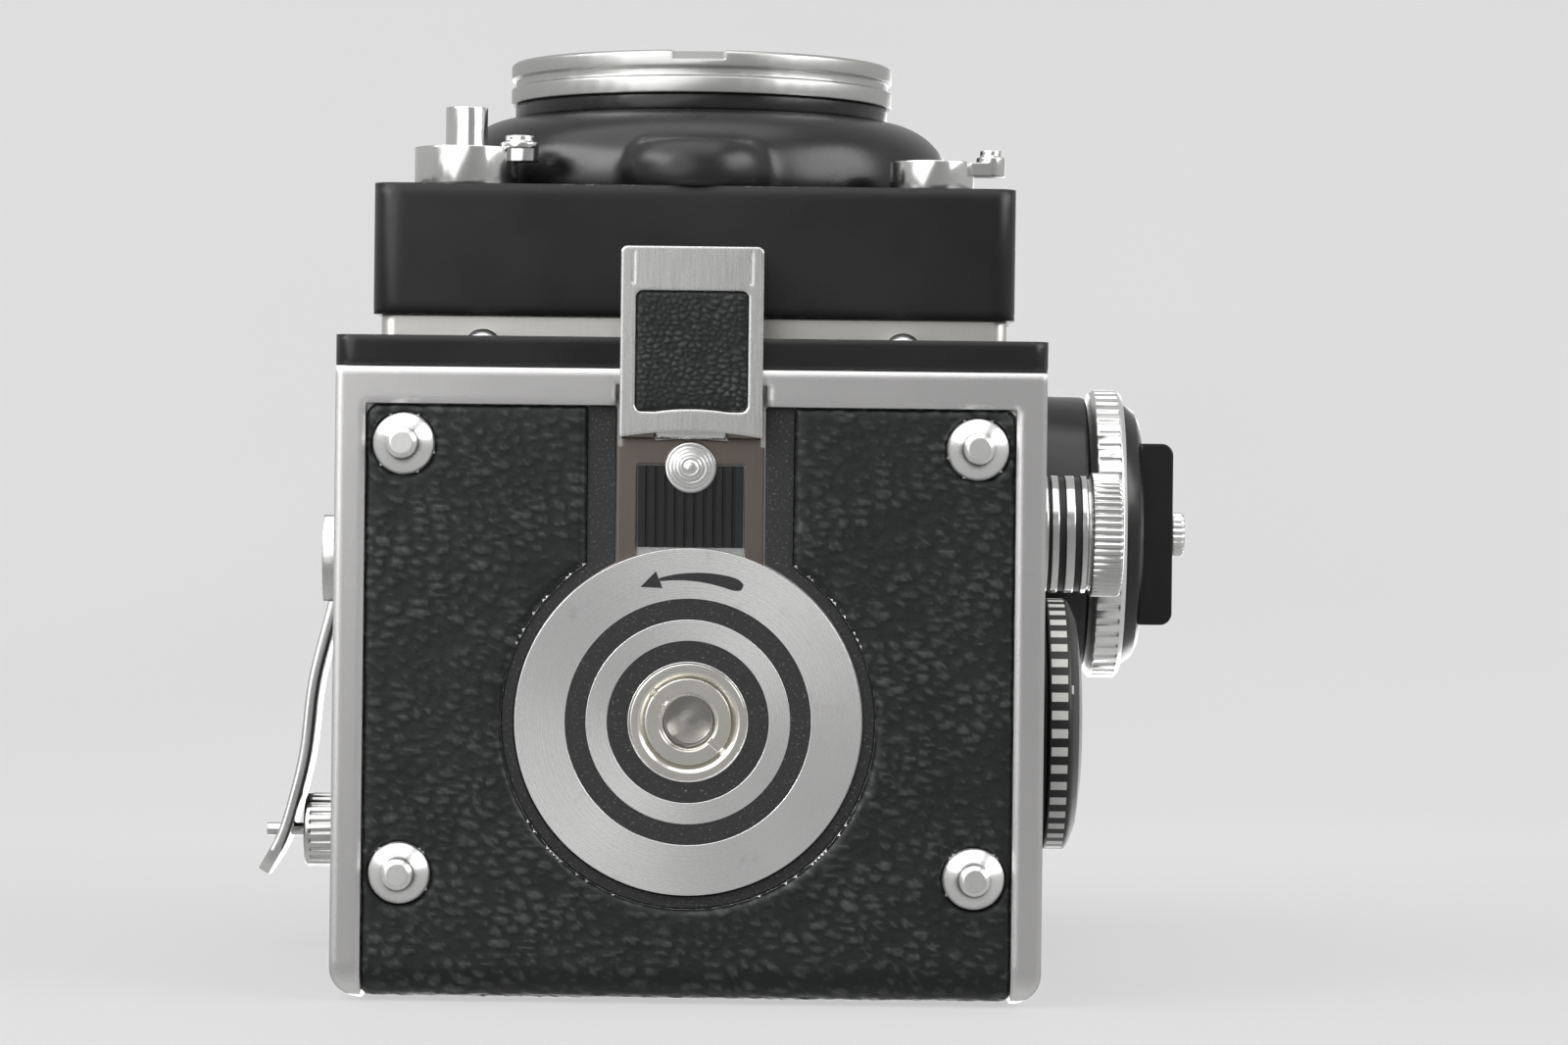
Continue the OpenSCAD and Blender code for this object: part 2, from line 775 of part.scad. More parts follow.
module viewing_barrel() {
    color([0.12, 0.12, 0.12]) turned_y([0, viewing_z], [
        [viewing_bore - 1, front_y + 4], [viewing_bore, front_y + 4],
        [viewing_bore, view_dome_y], [viewing_r, view_dome_y], [viewing_r, view_dome_y - 3.2],
        [16.2, view_dome_y - 3.2], [viewing_bore - 1, view_dome_y - 0.5]]);
}

module viewing_bayonet() {
    color([0.75, 0.75, 0.76])
        bayonet(viewing_z, view_dome_y - 7.5, view_dome_y - 3.2, viewing_r + 0.4, 16.2);
}

module viewing_glass() {
    color([0.5, 0.6, 0.75, 0.5])
        element(viewing_z, view_dome_y + 1.6, view_dome_y + 6, viewing_bore - 1, 1.5);
}

module shutter_housing() {
    y = [front_y + board_wall, front_y + 10.3];
    color([0.3, 0.3, 0.3]) difference() {
        rod_y(y[0], y[1], [0, taking_z], 24);
        rod_y(y[0] - cut, y[1] + cut, [0, taking_z], 12);
        rod_y(front_y + 5.6, front_y + 7.4, [0, taking_z], 20);
    }
}

module shutter_blades() {
    span = 360 / blades + 20;
    color([0.45, 0.45, 0.47]) for (i = [0 : blades - 1])
        translate([0, front_y + 5.8 + 0.25 * i, taking_z]) rotate([-90, i * 360 / blades, 0])
            linear_extrude(0.15) polygon(concat([[0, 0]], [for (k = [0 : 12])
                19 * [cos(span * k / 12), sin(span * k / 12)]]));
}

module release_button() {
    tip = -68.2;
    color([0.8, 0.8, 0.8]) difference() {
        union() {
            rod_y(tip, front_y + 3.3, release_at, release_r);
            rod_y(front_y + 2, front_y + 3.3, release_at, 3.2);
        }
        // Threaded seat of a cable release
        rod_y(tip - cut, tip + 3, release_at, 1.5);
    }
}

// A small lever: a round boss, an arm with a turned knob, and a hole or a stem
module lever(at, y0, boss_r, reach, angle, knob_r) {
    translate([at[0], 0, at[1]]) rotate([0, -angle, 0]) {
        rod_y(y0, front_y - 0.1, [0, 0], boss_r);
        block([0, y0, -1.6], [reach - 1.6, y0 + 1.5, 1.6]);
        rod_y(y0, y0 + 1.5, [reach - 1.6, 0], 1.6);
        turned_y([reach - knob_r, 0], [
            [0, y0], [knob_r, y0 + eps], [knob_r, y0 - 0.6], [knob_r * 0.75, y0 - 0.8],
            [knob_r * 0.75, y0 - 1.4], [0, y0 - 1.4]]);
    }
}

module release_guard() {
    y0 = front_y - 4.3;
    color([0.82, 0.82, 0.82]) difference() {
        lever(release_at, y0, 5.8, 8.4, -12, 2.2);
        rod_y(y0 - 3, front_y + cut, release_at, release_r + 0.08);
    }
}

module sync_lever() {
    color([0.78, 0.78, 0.78]) {
        lever(sync_at, front_y - 3.3, 4.7, 8.2, 0, 1.6);
        rod_y(front_y - 0.2, front_y + 3, sync_at, stem_r);
    }
}

module exposure_wheel(x) {
    teeth = 24;
    color([0.7, 0.7, 0.7]) difference() {
        union() {
            rod_y(front_y - 3.1, front_y - 0.1, [x, wheel_z], wheel_r);
            rod_y(front_y - 0.2, front_y + 3, [x, wheel_z], stem_r);
        }
        for (i = [0 : teeth - 1]) translate([x, 0, wheel_z]) rotate([0, i * 360 / teeth, 0])
            rod_y(front_y - 4, front_y, [wheel_r + 0.1, 0], 0.45);
    }
}

module aperture_wheel() {
    exposure_wheel(-wheel_x);
}

module shutter_wheel() {
    exposure_wheel(wheel_x);
}

// ---- Knobs on the focusing side ----

module focus_drum() {
    color([0.1, 0.1, 0.1]) difference() {
        turned_x(focus_at, [
            [0, shell_x], [17.6, shell_x], [17.6, drum_x - 0.4], [17.2, drum_x], [0, drum_x]]);
        rod_x(shell_x - cut, drum_x + cut, focus_at, focus_sleeve_r + run_fit);
    }
}

// Spiral cam: its radius grows evenly over the knob's turn, then falls back
module focus_cam() {
    step = 5;
    rise = [for (a = [0 : step : focus_turn])
        let (r = cam_r0 + focus_travel * a / focus_turn) r * [-cos(a), sin(a)]];
    fall = [for (t = [0.4, 0.8])
        let (a = focus_turn + t * (360 - focus_turn - 20),
             r = cam_r0 + focus_travel * (1 - t) * 0.8) r * [-cos(a), sin(a)]];
    back = [[-(cam_r0 - 0.1) * cos(20), -(cam_r0 - 0.1) * sin(20)]];
    translate(focus_at) polygon(concat(rise, fall, back));
}

module focus_knob() {
    ring_x = [49.2, 53.3];
    web_x = 51.2;
    bore = 17.4;
    color([0.82, 0.83, 0.84]) difference() {
        union() {
            turned_x(focus_at, [
                [0, ring_x[0]], [focus_r - 0.5, ring_x[0]], [focus_r, ring_x[0] + 0.5],
                [focus_r, ring_x[1] - 0.6], [focus_r - 0.6, ring_x[1]], [bore, ring_x[1]],
                [bore, web_x], [0, web_x]]);
            rod_x(cam_x[0], web_x, focus_at, focus_sleeve_r);
            along_x(cam_x[0], cam_x[1]) focus_cam();
        }
        rod_x(cam_x[0] - cut, web_x + cut, focus_at, post_r + run_fit);
        flutes(focus_at, ring_x[0] + 0.6, ring_x[1] - 0.7, focus_r + 0.25, focus_flutes, 0.5);
    }
}

module accessory_shoe() {
    y = focus_at[0];
    z = [focus_at[1] - 9.5, focus_at[1] + 9.5];
    half = 11.5;
    base_x = [55.6, 56.6];
    lip_x = [58.8, 59.6];
    stop_top = z[0] + 5.6;
    color([0.12, 0.12, 0.12]) {
        turned_x(focus_at, [
            [0, 31.2], [post_r, 31.2], [post_r, 51.6], [17, 51.6], [17, 53.4], [15.8, 55],
            [14.5, base_x[0]], [0, base_x[0]]]);
        // The shoe: a base plate, two rails that turn in over it, and a closed lower end
        along_z(z[0], z[1]) difference() {
            rounded([base_x[0] - 2, y - half], [lip_x[1], y + half], 1.5);
            translate([base_x[1], y - half + 1.8])
                square([lip_x[0] - base_x[1] + eps, 2 * half - 3.6]);
            translate([lip_x[0], y - half + 4]) square([2, 2 * half - 8]);
        }
        block([base_x[0], y - half + 1.6, z[0]], [lip_x[1], y + half - 1.6, stop_top]);
        // Clamp screw in the closed end
        rod_x(lip_x[1] - eps, 61.2, [y, z[0] + 2.7], 2.4);
    }
}

module film_dial() {
    rim_x = [42.3, 45.2];
    color([0.15, 0.15, 0.15]) {
        turned_x(dial_at, [
            [0, shell_x + 0.2], [8, shell_x + 0.2], [8, half_w + 0.25], [14.6, half_w + 0.25],
            [14.6, rim_x[0]], [dial_r, rim_x[0]],
            [dial_r, rim_x[1] - 0.3], [dial_r - 0.3, rim_x[1]], [13, 46.1], [9, 46.7],
            [0, 46.9]]);
        rod_x(34, shell_x + 0.3, dial_at, dial_shaft_r);
        rod_x(cavity_x - 1.6, cavity_x - 0.2, dial_at, 4);
    }
}

module knob_sleeve() {
    color([0.6, 0.6, 0.6]) difference() {
        rod_x(36.5, 39.1, feed_at, sleeve_r);
        rod_x(36, 40, feed_at, spool_pin_r + 0.08);
    }
}

module spool_knob() {
    knurl_teeth = 52;
    color([0.8, 0.8, 0.8]) difference() {
        turned_x(feed_at, [
            [0, 39.2], [6.6, 39.2], [6.6, 44.4], [7, 44.7], [7, 48], [6.7, 48.3], [0, 48.3]]);
        rod_x(38, 41, feed_at, spool_pin_r);
        flutes(feed_at, 44.9, 49, 7.1, knurl_teeth, 0.25);
    }
}

// Pin of the spool knob, which enters the feed spool
module spool_pin() {
    color([0.7, 0.7, 0.7]) rod_x(30, 41, feed_at, spool_pin_r);
}

// ---- Film path ----

module spool(at) {
    core = 5;
    color([0.14, 0.14, 0.14]) difference() {
        turned_x(at, [
            [0, -spool_x], [spool_r, -spool_x], [spool_r, 1.2 - spool_x], [core, 1.2 - spool_x],
            [core, spool_x - 1.2], [spool_r, spool_x - 1.2], [spool_r, spool_x], [0, spool_x]]);
        rod_x(-spool_x - cut, spool_x + cut, at, spool_pin_r + 0.08);
    }
}

module feed_spool() {
    spool(feed_at);
}

module takeup_spool() {
    spool(takeup_at);
}

module film_roller() {
    color([0.75, 0.75, 0.75]) {
        rod_x(-32, 32, roller_at, 3.4);
        rod_x(-36.2, 36.2, roller_at, 1.2);
    }
}

// ---- Winding gears, module 1, on the crank side ----

function heading(a, b) = atan2(b[1] - a[1], b[0] - a[0]);

// Where two circles round a and b meet, on the lower side
function meet(a, b, ra, rb) =
    let (d = norm(b - a), u = (b - a) / d,
         along = (ra * ra - rb * rb + d * d) / (2 * d),
         across = sqrt(ra * ra - along * along))
    a + along * u + across * [u[1], -u[0]];

crank_pitch = crank_teeth / 2;
idler_pitch = idler_teeth / 2;
spool_pitch = spool_teeth / 2;
idler_at = meet(crank_at, takeup_at, crank_pitch + idler_pitch, idler_pitch + spool_pitch);

// Each gear is turned so that its teeth stand in its neighbour's spaces
crank_phase = heading(crank_at, idler_at);
idler_phase = crank_phase + 180 + 180 / idler_teeth;
spool_phase = heading(takeup_at, idler_at) + 180 / spool_teeth
    + (heading(idler_at, takeup_at) - idler_phase) * idler_teeth / spool_teeth;

// A gear's outline; teeth taper from root to tip, with room left for play
module gear_outline(teeth, phase) {
    pitch = teeth / 2;
    root = pitch - 1.1;
    tip = pitch + 0.8;
    function at(r, half, i, s) =
        let (a = phase + i * 360 / teeth + s * half / r * 180 / PI) r * [cos(a), sin(a)];
    polygon([for (i = [0 : teeth - 1], k = [0 : 3])
        k == 0 ? at(root, 0.85, i, -1) : k == 1 ? at(tip, 0.3, i, -1)
        : k == 2 ? at(tip, 0.3, i, 1) : at(root, 0.85, i, 1)]);
}

module gear(at, teeth, phase) {
    along_x(gear_x[0], gear_x[1]) translate(at) gear_outline(teeth, phase);
}

module crank_escutcheon() {
    color([0.15, 0.15, 0.15]) difference() {
        mirror([1, 0, 0]) turned_x(crank_at, [
            [0, shell_x], [12.5, shell_x], [12.5, 40.2], [11.6, 41.2], [0, 41.2]]);
        rod_x(-42, -shell_x + cut, crank_at, crank_shaft_r + run_fit);
    }
}

module crank_hub() {
    lug_z = [crank_at[1] - 7, crank_at[1] + 7];
    color([0.7, 0.7, 0.7]) {
        gear(crank_at, crank_teeth, crank_phase);
        rod_x(-41.5, gear_x[0] + eps, crank_at, crank_shaft_r);
        difference() {
            rod_x(-46, -41.4, crank_at, 7);
            // Slot that the crank arm turns in
            block([-47, crank_at[0] - 8, crank_at[1] - 4.6],
                  [-41.8, crank_at[0] + 8, crank_at[1] + 4.6]);
        }
        rod_z(lug_z[0] + 1, lug_z[1] - 1, [arm_pivot_x, crank_at[0]], 0.6);
    }
}

module idler_gear() {
    color([0.75, 0.68, 0.4]) {
        gear(idler_at, idler_teeth, idler_phase);
        rod_x(-cavity_x - 1.2, gear_x[0] + eps, idler_at, 2);
    }
}

module spool_gear() {
    color([0.75, 0.68, 0.4]) {
        gear(takeup_at, spool_teeth, spool_phase);
        rod_x(-cavity_x - 1.2, gear_x[0] + eps, takeup_at, 2);
        rod_x(gear_x[1] - eps, -30, takeup_at, spool_pin_r);
    }
}

module crank_arm() {
    z = [crank_at[1] - 4.5, crank_at[1] + 4.5];
    pivot = [arm_pivot_x, crank_at[0]];
    outer = [[-45.3, -10.9], [-48, -1.8], [-48.9, 6.7], [-50.4, 12.7], [-51.6, 17.5], [-54, 22]];
    thick = 1.7;
    color([0.72, 0.72, 0.72]) difference() {
        union() {
            along_z(z[0], z[1]) polygon(concat(
                [[pivot[0] - 1.5, pivot[1]]], outer,
                [for (i = [len(outer) - 1 : -1 : 0]) outer[i] + [thick, 0]],
                [[pivot[0] + 1, pivot[1]]]));
            rod_z(z[0], z[1], pivot, 1.6);
        }
        rod_z(z[0] - cut, z[1] + cut, pivot, 0.6 + 0.05);
        rod_x(-54, -46, [handle_y, crank_at[1]], 0.8 + 0.05);
    }
}

module crank_handle() {
    at = [handle_y, crank_at[1]];
    color([0.8, 0.8, 0.8]) {
        rod_x(-53, -48, at, 0.8);
        difference() {
            mirror([1, 0, 0]) turned_x(at, [
                [0, 40.2], [handle_r - 0.4, 40.2], [handle_r, 40.6], [handle_r, 47.9],
                [handle_r - 0.4, 48.2], [0, 48.2]]);
            flutes(at, -47.4, -41, handle_r + 0.1, 24, 0.3);
        }
    }
}

// ---- Hood ----

module hood_base() {
    z0 = body_h;
    ring_h = 3;
    rail = [31.9, 33.4];
    color([0.12, 0.12, 0.12]) {
        difference() {
            block([-36, -34, z0], [36, 29.5, z0 + ring_h]);
            block([-29.4, screen_y - 29.4, z0 - cut], [29.4, screen_y + 29.4, z0 + ring_h + cut]);
        }
        // Front wall with the lid's hinge ears and pin
        block([-33.9, -34, z0 + ring_h - eps], [33.9, -32.6, lid_at[1] - 1.4]);
        both_sides() {
            rod_x(28, 32, lid_at, 1.2);
            block([28, -34, lid_at[1] - 1.5], [32, -33.2, lid_at[1]]);
        }
        rod_x(-28.5, 28.5, lid_at, lid_pin_r);
        // Side rails with the flaps' hinge ears and pins
        both_sides() {
            block([rail[0], -32.7, z0 + ring_h - eps], [rail[1], 27, flap_at[1] - 1.2]);
            for (y = [[-20, -17], [11, 14]]) {
                rod_y(y[0], y[1], flap_at, flap_knuckle_r);
                block([rail[0], y[0], flap_at[1] - 1.3], [rail[1] - 0.1, y[1], flap_at[1]]);
            }
            rod_y(-20, 14, flap_at, flap_pin_r);
        }
        // Ears and pin of the rear flap
        both_sides() {
            rod_x(20, 24, rear_flap_at, flap_knuckle_r);
            block([20, rear_flap_at[0], z0 + ring_h - eps], [24, 27.9, rear_flap_at[1]]);
        }
        rod_x(-20.5, 20.5, rear_flap_at, flap_pin_r);
    }
}

module hood_lid() {
    z = [lid_at[1] + 0.5, lid_at[1] + 1.9];
    front = lid_at[0] + 1.5;
    mag = magnifier_hinge;
    color([0.12, 0.12, 0.12]) difference() {
        union() {
            along_z(z[0], z[1]) rounded([-35.2, front], [35.2, 29], 1.5);
            both_sides() block([34.2, front + 1.5, body_h + 7], [35.2, 27.5, z[0] + eps]);
            block([-33.7, 28, body_h + 7], [33.7, 29, z[0] + eps]);
            // Barrel on the hinge pin
            rod_x(-27.8, 27.8, lid_at, 1.2);
            block([-27.8, lid_at[0], lid_at[1] + 0.2], [27.8, front + 0.5, z[1] - 0.3]);
            // Lugs and pin of the magnifier
            both_sides() block([8.2, mag[0] - 1.2, mag[1] - 1.2], [9.6, mag[0] + 1.2, z[0] + eps]);
            rod_x(-8.5, 8.5, mag, flap_pin_r);
        }
        rod_x(-28.5, 28.5, lid_at, lid_pin_r + 0.05);
    }
}

// The -X flap; its free front corner is cut back to clear the rising lid
module side_flap() {
    front = -31.5;
    rear = 25.5;
    x = flap_at[0];
    z = flap_at[1];
    color([0.12, 0.12, 0.12]) difference() {
        union() {
            along_z(z - 0.3, z + 0.7) polygon([
                [-x + 1.3, rear], [-x + 1.3, front], [-x + 9.5, front], [-x + 14, front + 2.9],
                [-x + 20, front + 6.9], [-x + flap_len, front + 10.9], [-x + flap_len, rear]]);
            rod_y(-16.8, 10.8, [-x, z], flap_knuckle_r);
            block([-x, -16.8, z - 0.3], [-x + 1.5, 10.8, z + 0.7]);
        }
        rod_y(-18, 12, [-x, z], flap_pin_r + 0.05);
    }
}

module hood_flap_left() {
    side_flap();
}

module hood_flap_right() {
    mirror([1, 0, 0]) side_flap();
}

module hood_flap_rear() {
    y = rear_flap_at[0];
    z = rear_flap_at[1];
    color([0.12, 0.12, 0.12]) difference() {
        union() {
            along_z(z - 0.4, z + 0.4) polygon([
                [-30, y - 1.2], [30, y - 1.2], [30, y - 4.5], [24.6, y - 12.5], [18, y - 20.5],
                [17, y - 22], [-17, y - 22], [-18, y - 20.5], [-24.6, y - 12.5], [-30, y - 4.5]]);
            rod_x(-19.8, 19.8, rear_flap_at, flap_knuckle_r);
            block([-19.8, y - 1.5, z - 0.4], [19.8, y, z + 0.4]);
        }
        rod_x(-21, 21, rear_flap_at, flap_pin_r + 0.05);
    }
}

module magnifier_frame() {
    z = [magnifier_hinge[1] - 1.2, magnifier_hinge[1] + 1.2];
    color([0.15, 0.15, 0.15]) difference() {
        union() {
            rod_z(z[0], z[1], [0, magnifier_y], magnifier_r + 1.3);
            both_sides() block([4.5, magnifier_hinge[0], z[0] + 0.6], [8, magnifier_y - 4, z[1] - 0.6]);
            rod_x(-8, 8, magnifier_hinge, 1.1);
        }
        rod_z(z[0] - cut, z[1] + cut, [0, magnifier_y], magnifier_r);
        rod_x(-9, 9, magnifier_hinge, flap_pin_r + 0.05);
    }
}

module magnifier_lens() {
    sag = 1.2;
    upper = bow(magnifier_r, sag, 0.4, 1);
    color([0.7, 0.8, 0.9, 0.4]) translate([0, magnifier_y, magnifier_hinge[1]]) rotate_extrude()
        polygon(concat(upper, [for (i = [len(upper) - 1 : -1 : 0]) [upper[i][0], -upper[i][1]]]));
}

body_shell();
front_plate();
reflex_mirror();
focusing_screen();
film_gate();
side_leathers();
front_screws();
name_plate();
strap_lugs();
back_cover();
back_leather();
latch_channel();
feet();
pressure_plate();
lock_disc();
tripod_socket();
socket_adapter();
latch_slide();
latch_grip();
latch_arm();
latch_arm_leather();
standard_frame();
lens_board();
lens_surround();
taking_barrel();
taking_bayonet();
taking_glass();
viewing_barrel();
viewing_bayonet();
viewing_glass();
shutter_housing();
shutter_blades();
release_button();
release_guard();
sync_lever();
aperture_wheel();
shutter_wheel();
focus_drum();
focus_knob();
accessory_shoe();
film_dial();
knob_sleeve();
spool_knob();
spool_pin();
feed_spool();
takeup_spool();
spool_gear();
crank_escutcheon();
crank_hub();
idler_gear();
crank_arm();
crank_handle();
film_roller();
hood_base();
hood_lid();
hood_flap_left();
hood_flap_right();
hood_flap_rear();
magnifier_frame();
magnifier_lens();
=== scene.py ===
import math

import bpy
import numpy as np
from mathutils import Matrix, Vector


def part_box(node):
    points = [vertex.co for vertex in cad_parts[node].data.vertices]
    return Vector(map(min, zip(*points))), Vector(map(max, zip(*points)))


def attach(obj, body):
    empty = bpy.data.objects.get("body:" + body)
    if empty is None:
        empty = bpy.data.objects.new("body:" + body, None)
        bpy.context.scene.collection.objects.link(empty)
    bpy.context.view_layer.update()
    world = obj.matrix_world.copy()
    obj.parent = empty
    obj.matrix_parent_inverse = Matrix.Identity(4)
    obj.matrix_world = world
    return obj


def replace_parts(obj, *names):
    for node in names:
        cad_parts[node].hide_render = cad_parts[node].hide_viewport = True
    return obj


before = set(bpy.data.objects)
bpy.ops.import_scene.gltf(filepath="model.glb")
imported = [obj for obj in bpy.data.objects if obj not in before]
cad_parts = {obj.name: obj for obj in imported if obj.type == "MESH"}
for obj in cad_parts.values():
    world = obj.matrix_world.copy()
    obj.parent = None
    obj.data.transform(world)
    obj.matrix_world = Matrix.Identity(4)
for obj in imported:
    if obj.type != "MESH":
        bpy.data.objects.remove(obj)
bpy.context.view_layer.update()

MM = 0.001

# Millimetres in the CAD's frame
HALF_W = 39.0    # half of the body's width
SHELL_X = 38.2   # outside of the body's sides, under the leather
BED = 0.9        # depth of the leather's bed in the base
BACK_Y = 30.8    # outside of the back
FILLET = 4.0     # radius between base and back
TAKING_Z = 41.0  # height of the taking lens
VIEWING_Z = 83.0  # height of the viewing lens
FOOT_X = 31.5
FOOT_Y = (-30.2, 16.9)
BUTTON_Y = -27.9  # push button of the latch slide


def box_mm(node):
    """Lowest and highest corners of a CAD node, in millimetres."""
    low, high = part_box(node)
    return np.array(low) / MM, np.array(high) / MM


def centre_mm(node):
    low, high = box_mm(node)
    return (low + high) / 2


# ---------------------------------------------------------------- materials


class Shader:
    """A node material with short ways to add nodes and links."""

    def __init__(self, name, rounding=0.0):
        """rounding is the radius in mm that edges seem to have."""
        self.rounding = rounding
        self.material = bpy.data.materials.new(name)
        self.material.use_nodes = True
        self.tree = self.material.node_tree
        self.out = self.tree.nodes["Material Output"]
        self.bsdf = self.tree.nodes["Principled BSDF"]
        self.place = self.add("ShaderNodeTexCoord").outputs["Object"]

    def add(self, kind, inputs=None, **settings):
        node = self.tree.nodes.new(kind)
        for key, value in settings.items():
            setattr(node, key, value)
        for key, value in (inputs or {}).items():
            self.set(node.inputs[key], value)
        return node

    def set(self, socket, value):
        if isinstance(value, bpy.types.NodeSocket):
            self.tree.links.new(value, socket)
        else:
            socket.default_value = value

    def put(self, **values):
        """Sets the main shader's inputs, written with _ for a space."""
        for key, value in values.items():
            self.set(self.bsdf.inputs[key.replace("_", " ")], value)

    def stretched(self, scale):
        """The object's coordinates, scaled by a different amount along each axis."""
        return self.add("ShaderNodeMapping", {"Vector": self.place, "Scale": scale}).outputs[0]

    def noise(self, scale, detail=3.0, rough=0.55, vector=None):
        node = self.add("ShaderNodeTexNoise", {
            "Vector": vector or self.place, "Scale": scale, "Detail": detail, "Roughness": rough})
        return node.outputs["Fac"]

    def ramp(self, value, low, high, start=0.0, end=1.0):
        """Carries value from the range low..high to the range start..end."""
        node = self.add("ShaderNodeMapRange", {
            "Value": value, "From Min": low, "From Max": high, "To Min": start, "To Max": end})
        return node.outputs[0]

    def mix(self, factor, a, b):
        node = self.add("ShaderNodeMix", data_type="RGBA")
        self.set(node.inputs[0], factor)
        for socket, value in ((node.inputs[6], a), (node.inputs[7], b)):
            is_socket = isinstance(value, bpy.types.NodeSocket)
            self.set(socket, value if is_socket else (*value, 1.0))
        return node.outputs[2]

    def maths(self, operation, a, b=0.0):
        node = self.add("ShaderNodeMath", operation=operation)
        self.set(node.inputs[0], a)
        self.set(node.inputs[1], b)
        return node.outputs[0]

    def bump(self, height, distance_mm, strength=1.0, normal=None):
        node = self.add("ShaderNodeBump", {
            "Height": height, "Distance": distance_mm * MM, "Strength": strength})
        if normal is None and self.rounding:
            normal = self.add("ShaderNodeBevel", {"Radius": self.rounding * MM}, samples=6).outputs[0]
        if normal is not None:
            self.set(node.inputs["Normal"], normal)
        return node.outputs[0]


def edge_mask(s, radius_mm, low=0.02, high=0.2):
    """1 on convex edges, 0 on flats."""
    soft = s.add("ShaderNodeBevel", {"Radius": radius_mm * MM}, samples=6).outputs[0]
    hard = s.add("ShaderNodeNewGeometry").outputs["Normal"]
    dot = s.add("ShaderNodeVectorMath", operation="DOT_PRODUCT")
    s.set(dot.inputs[0], soft)
    s.set(dot.inputs[1], hard)
    return s.ramp(s.maths("SUBTRACT", 1.0, dot.outputs["Value"]), low, high)


def enamel(name, shade=0.006, rough=0.26, edge_wear_and_highlight=0.0, rounding=0.5):
    """Semi-gloss black paint, with fine orange peel, smears, and lighter edges that are partly worn
    paint and partly painted highlight.
    """
    s = Shader(name, rounding)
    smear = s.noise(55, 4)
    colour = s.mix(s.ramp(smear, 0.3, 0.7), (shade, shade, shade * 1.03),
                   (shade * 1.7, shade * 1.7, shade * 1.7))
    if edge_wear_and_highlight:
        # Lighter convex edges: partly worn paint, partly a painted highlight along the edges.
        scuffs = s.noise(900, 5, 0.7)
        patches = s.noise(70, 3)
        worn = s.maths("MULTIPLY", edge_mask(s, 0.35), s.ramp(scuffs, 0.52, 0.66))
        worn = s.maths("MULTIPLY", worn, s.ramp(patches, 0.48, 0.62, 0.0, edge_wear_and_highlight))
        colour = s.mix(worn, colour, (0.35, 0.33, 0.30))
    s.put(Base_Color=colour, Roughness=s.ramp(smear, 0.25, 0.75, rough - 0.05, rough + 0.08),
          Normal=s.bump(s.noise(900, 2), 0.006), Specular_IOR_Level=0.42)
    return s.material


def crackle(name, shade=0.008):
    """Matt black paint with a fine grain; the grain's peaks carry light flecks that are painted glints.
    """
    s = Shader(name)
    grain = s.noise(4200, 2, 0.7)
    # Light flecks on the grain's peaks are painted glints.
    colour = s.mix(s.ramp(grain, 0.62, 0.75), (shade, shade * 1.04, shade * 1.04), (0.16, 0.17, 0.17))
    s.put(Base_Color=colour, Roughness=0.6, Normal=s.bump(grain, 0.05))
    return s.material


def leather_skin(name):
    """Black leather: fine pores over the modelled grain, glossier on its ridges, with a painted
    highlight that makes the ridges greyer.
    """
    s = Shader(name)
    pores = s.noise(2600, 3, 0.6)
    blotch = s.noise(90, 3)
    ridge = s.add("ShaderNodeAttribute", attribute_name="ridge").outputs["Fac"]
    base = s.mix(s.ramp(blotch, 0.35, 0.65), (0.0045, 0.0055, 0.0055), (0.0075, 0.0085, 0.0085))
    # Greyer ridges against dark creases: a painted highlight on the tops of the grain.
    colour = s.mix(s.ramp(ridge, 0.45, 1.0), base, (0.054, 0.060, 0.058))
    s.put(Base_Color=colour, Roughness=s.ramp(ridge, 0.2, 0.9, 0.48, 0.30),
          Normal=s.bump(pores, 0.03), Specular_IOR_Level=0.34)
    return s.material


def satin(name, colour, rough, streak=(1, 1, 1), fine=0.003, rounding=0.3):
    """Satin metal; streak stretches the brushing along the axis with the smallest number."""
    s = Shader(name, rounding)
    lines = s.noise(5200, 2, 0.6, s.stretched(streak))
    cloud = s.noise(38, 4)
    base = s.mix(s.ramp(cloud, 0.38, 0.66), colour, tuple(c * 0.92 for c in colour))
    base = s.mix(s.ramp(lines, 0.35, 0.75, 0.0, 0.4), base, tuple(c * 0.92 for c in colour))
    specks = s.noise(700, 3, 0.6)
    base = s.mix(s.ramp(specks, 0.70, 0.74, 0.0, 0.5), base, tuple(c * 0.5 for c in colour))
    s.put(Base_Color=base, Metallic=1.0, Roughness=s.ramp(lines, 0.3, 0.7, rough - 0.03, rough + 0.03),
          Normal=s.bump(lines, fine))
    return s.material


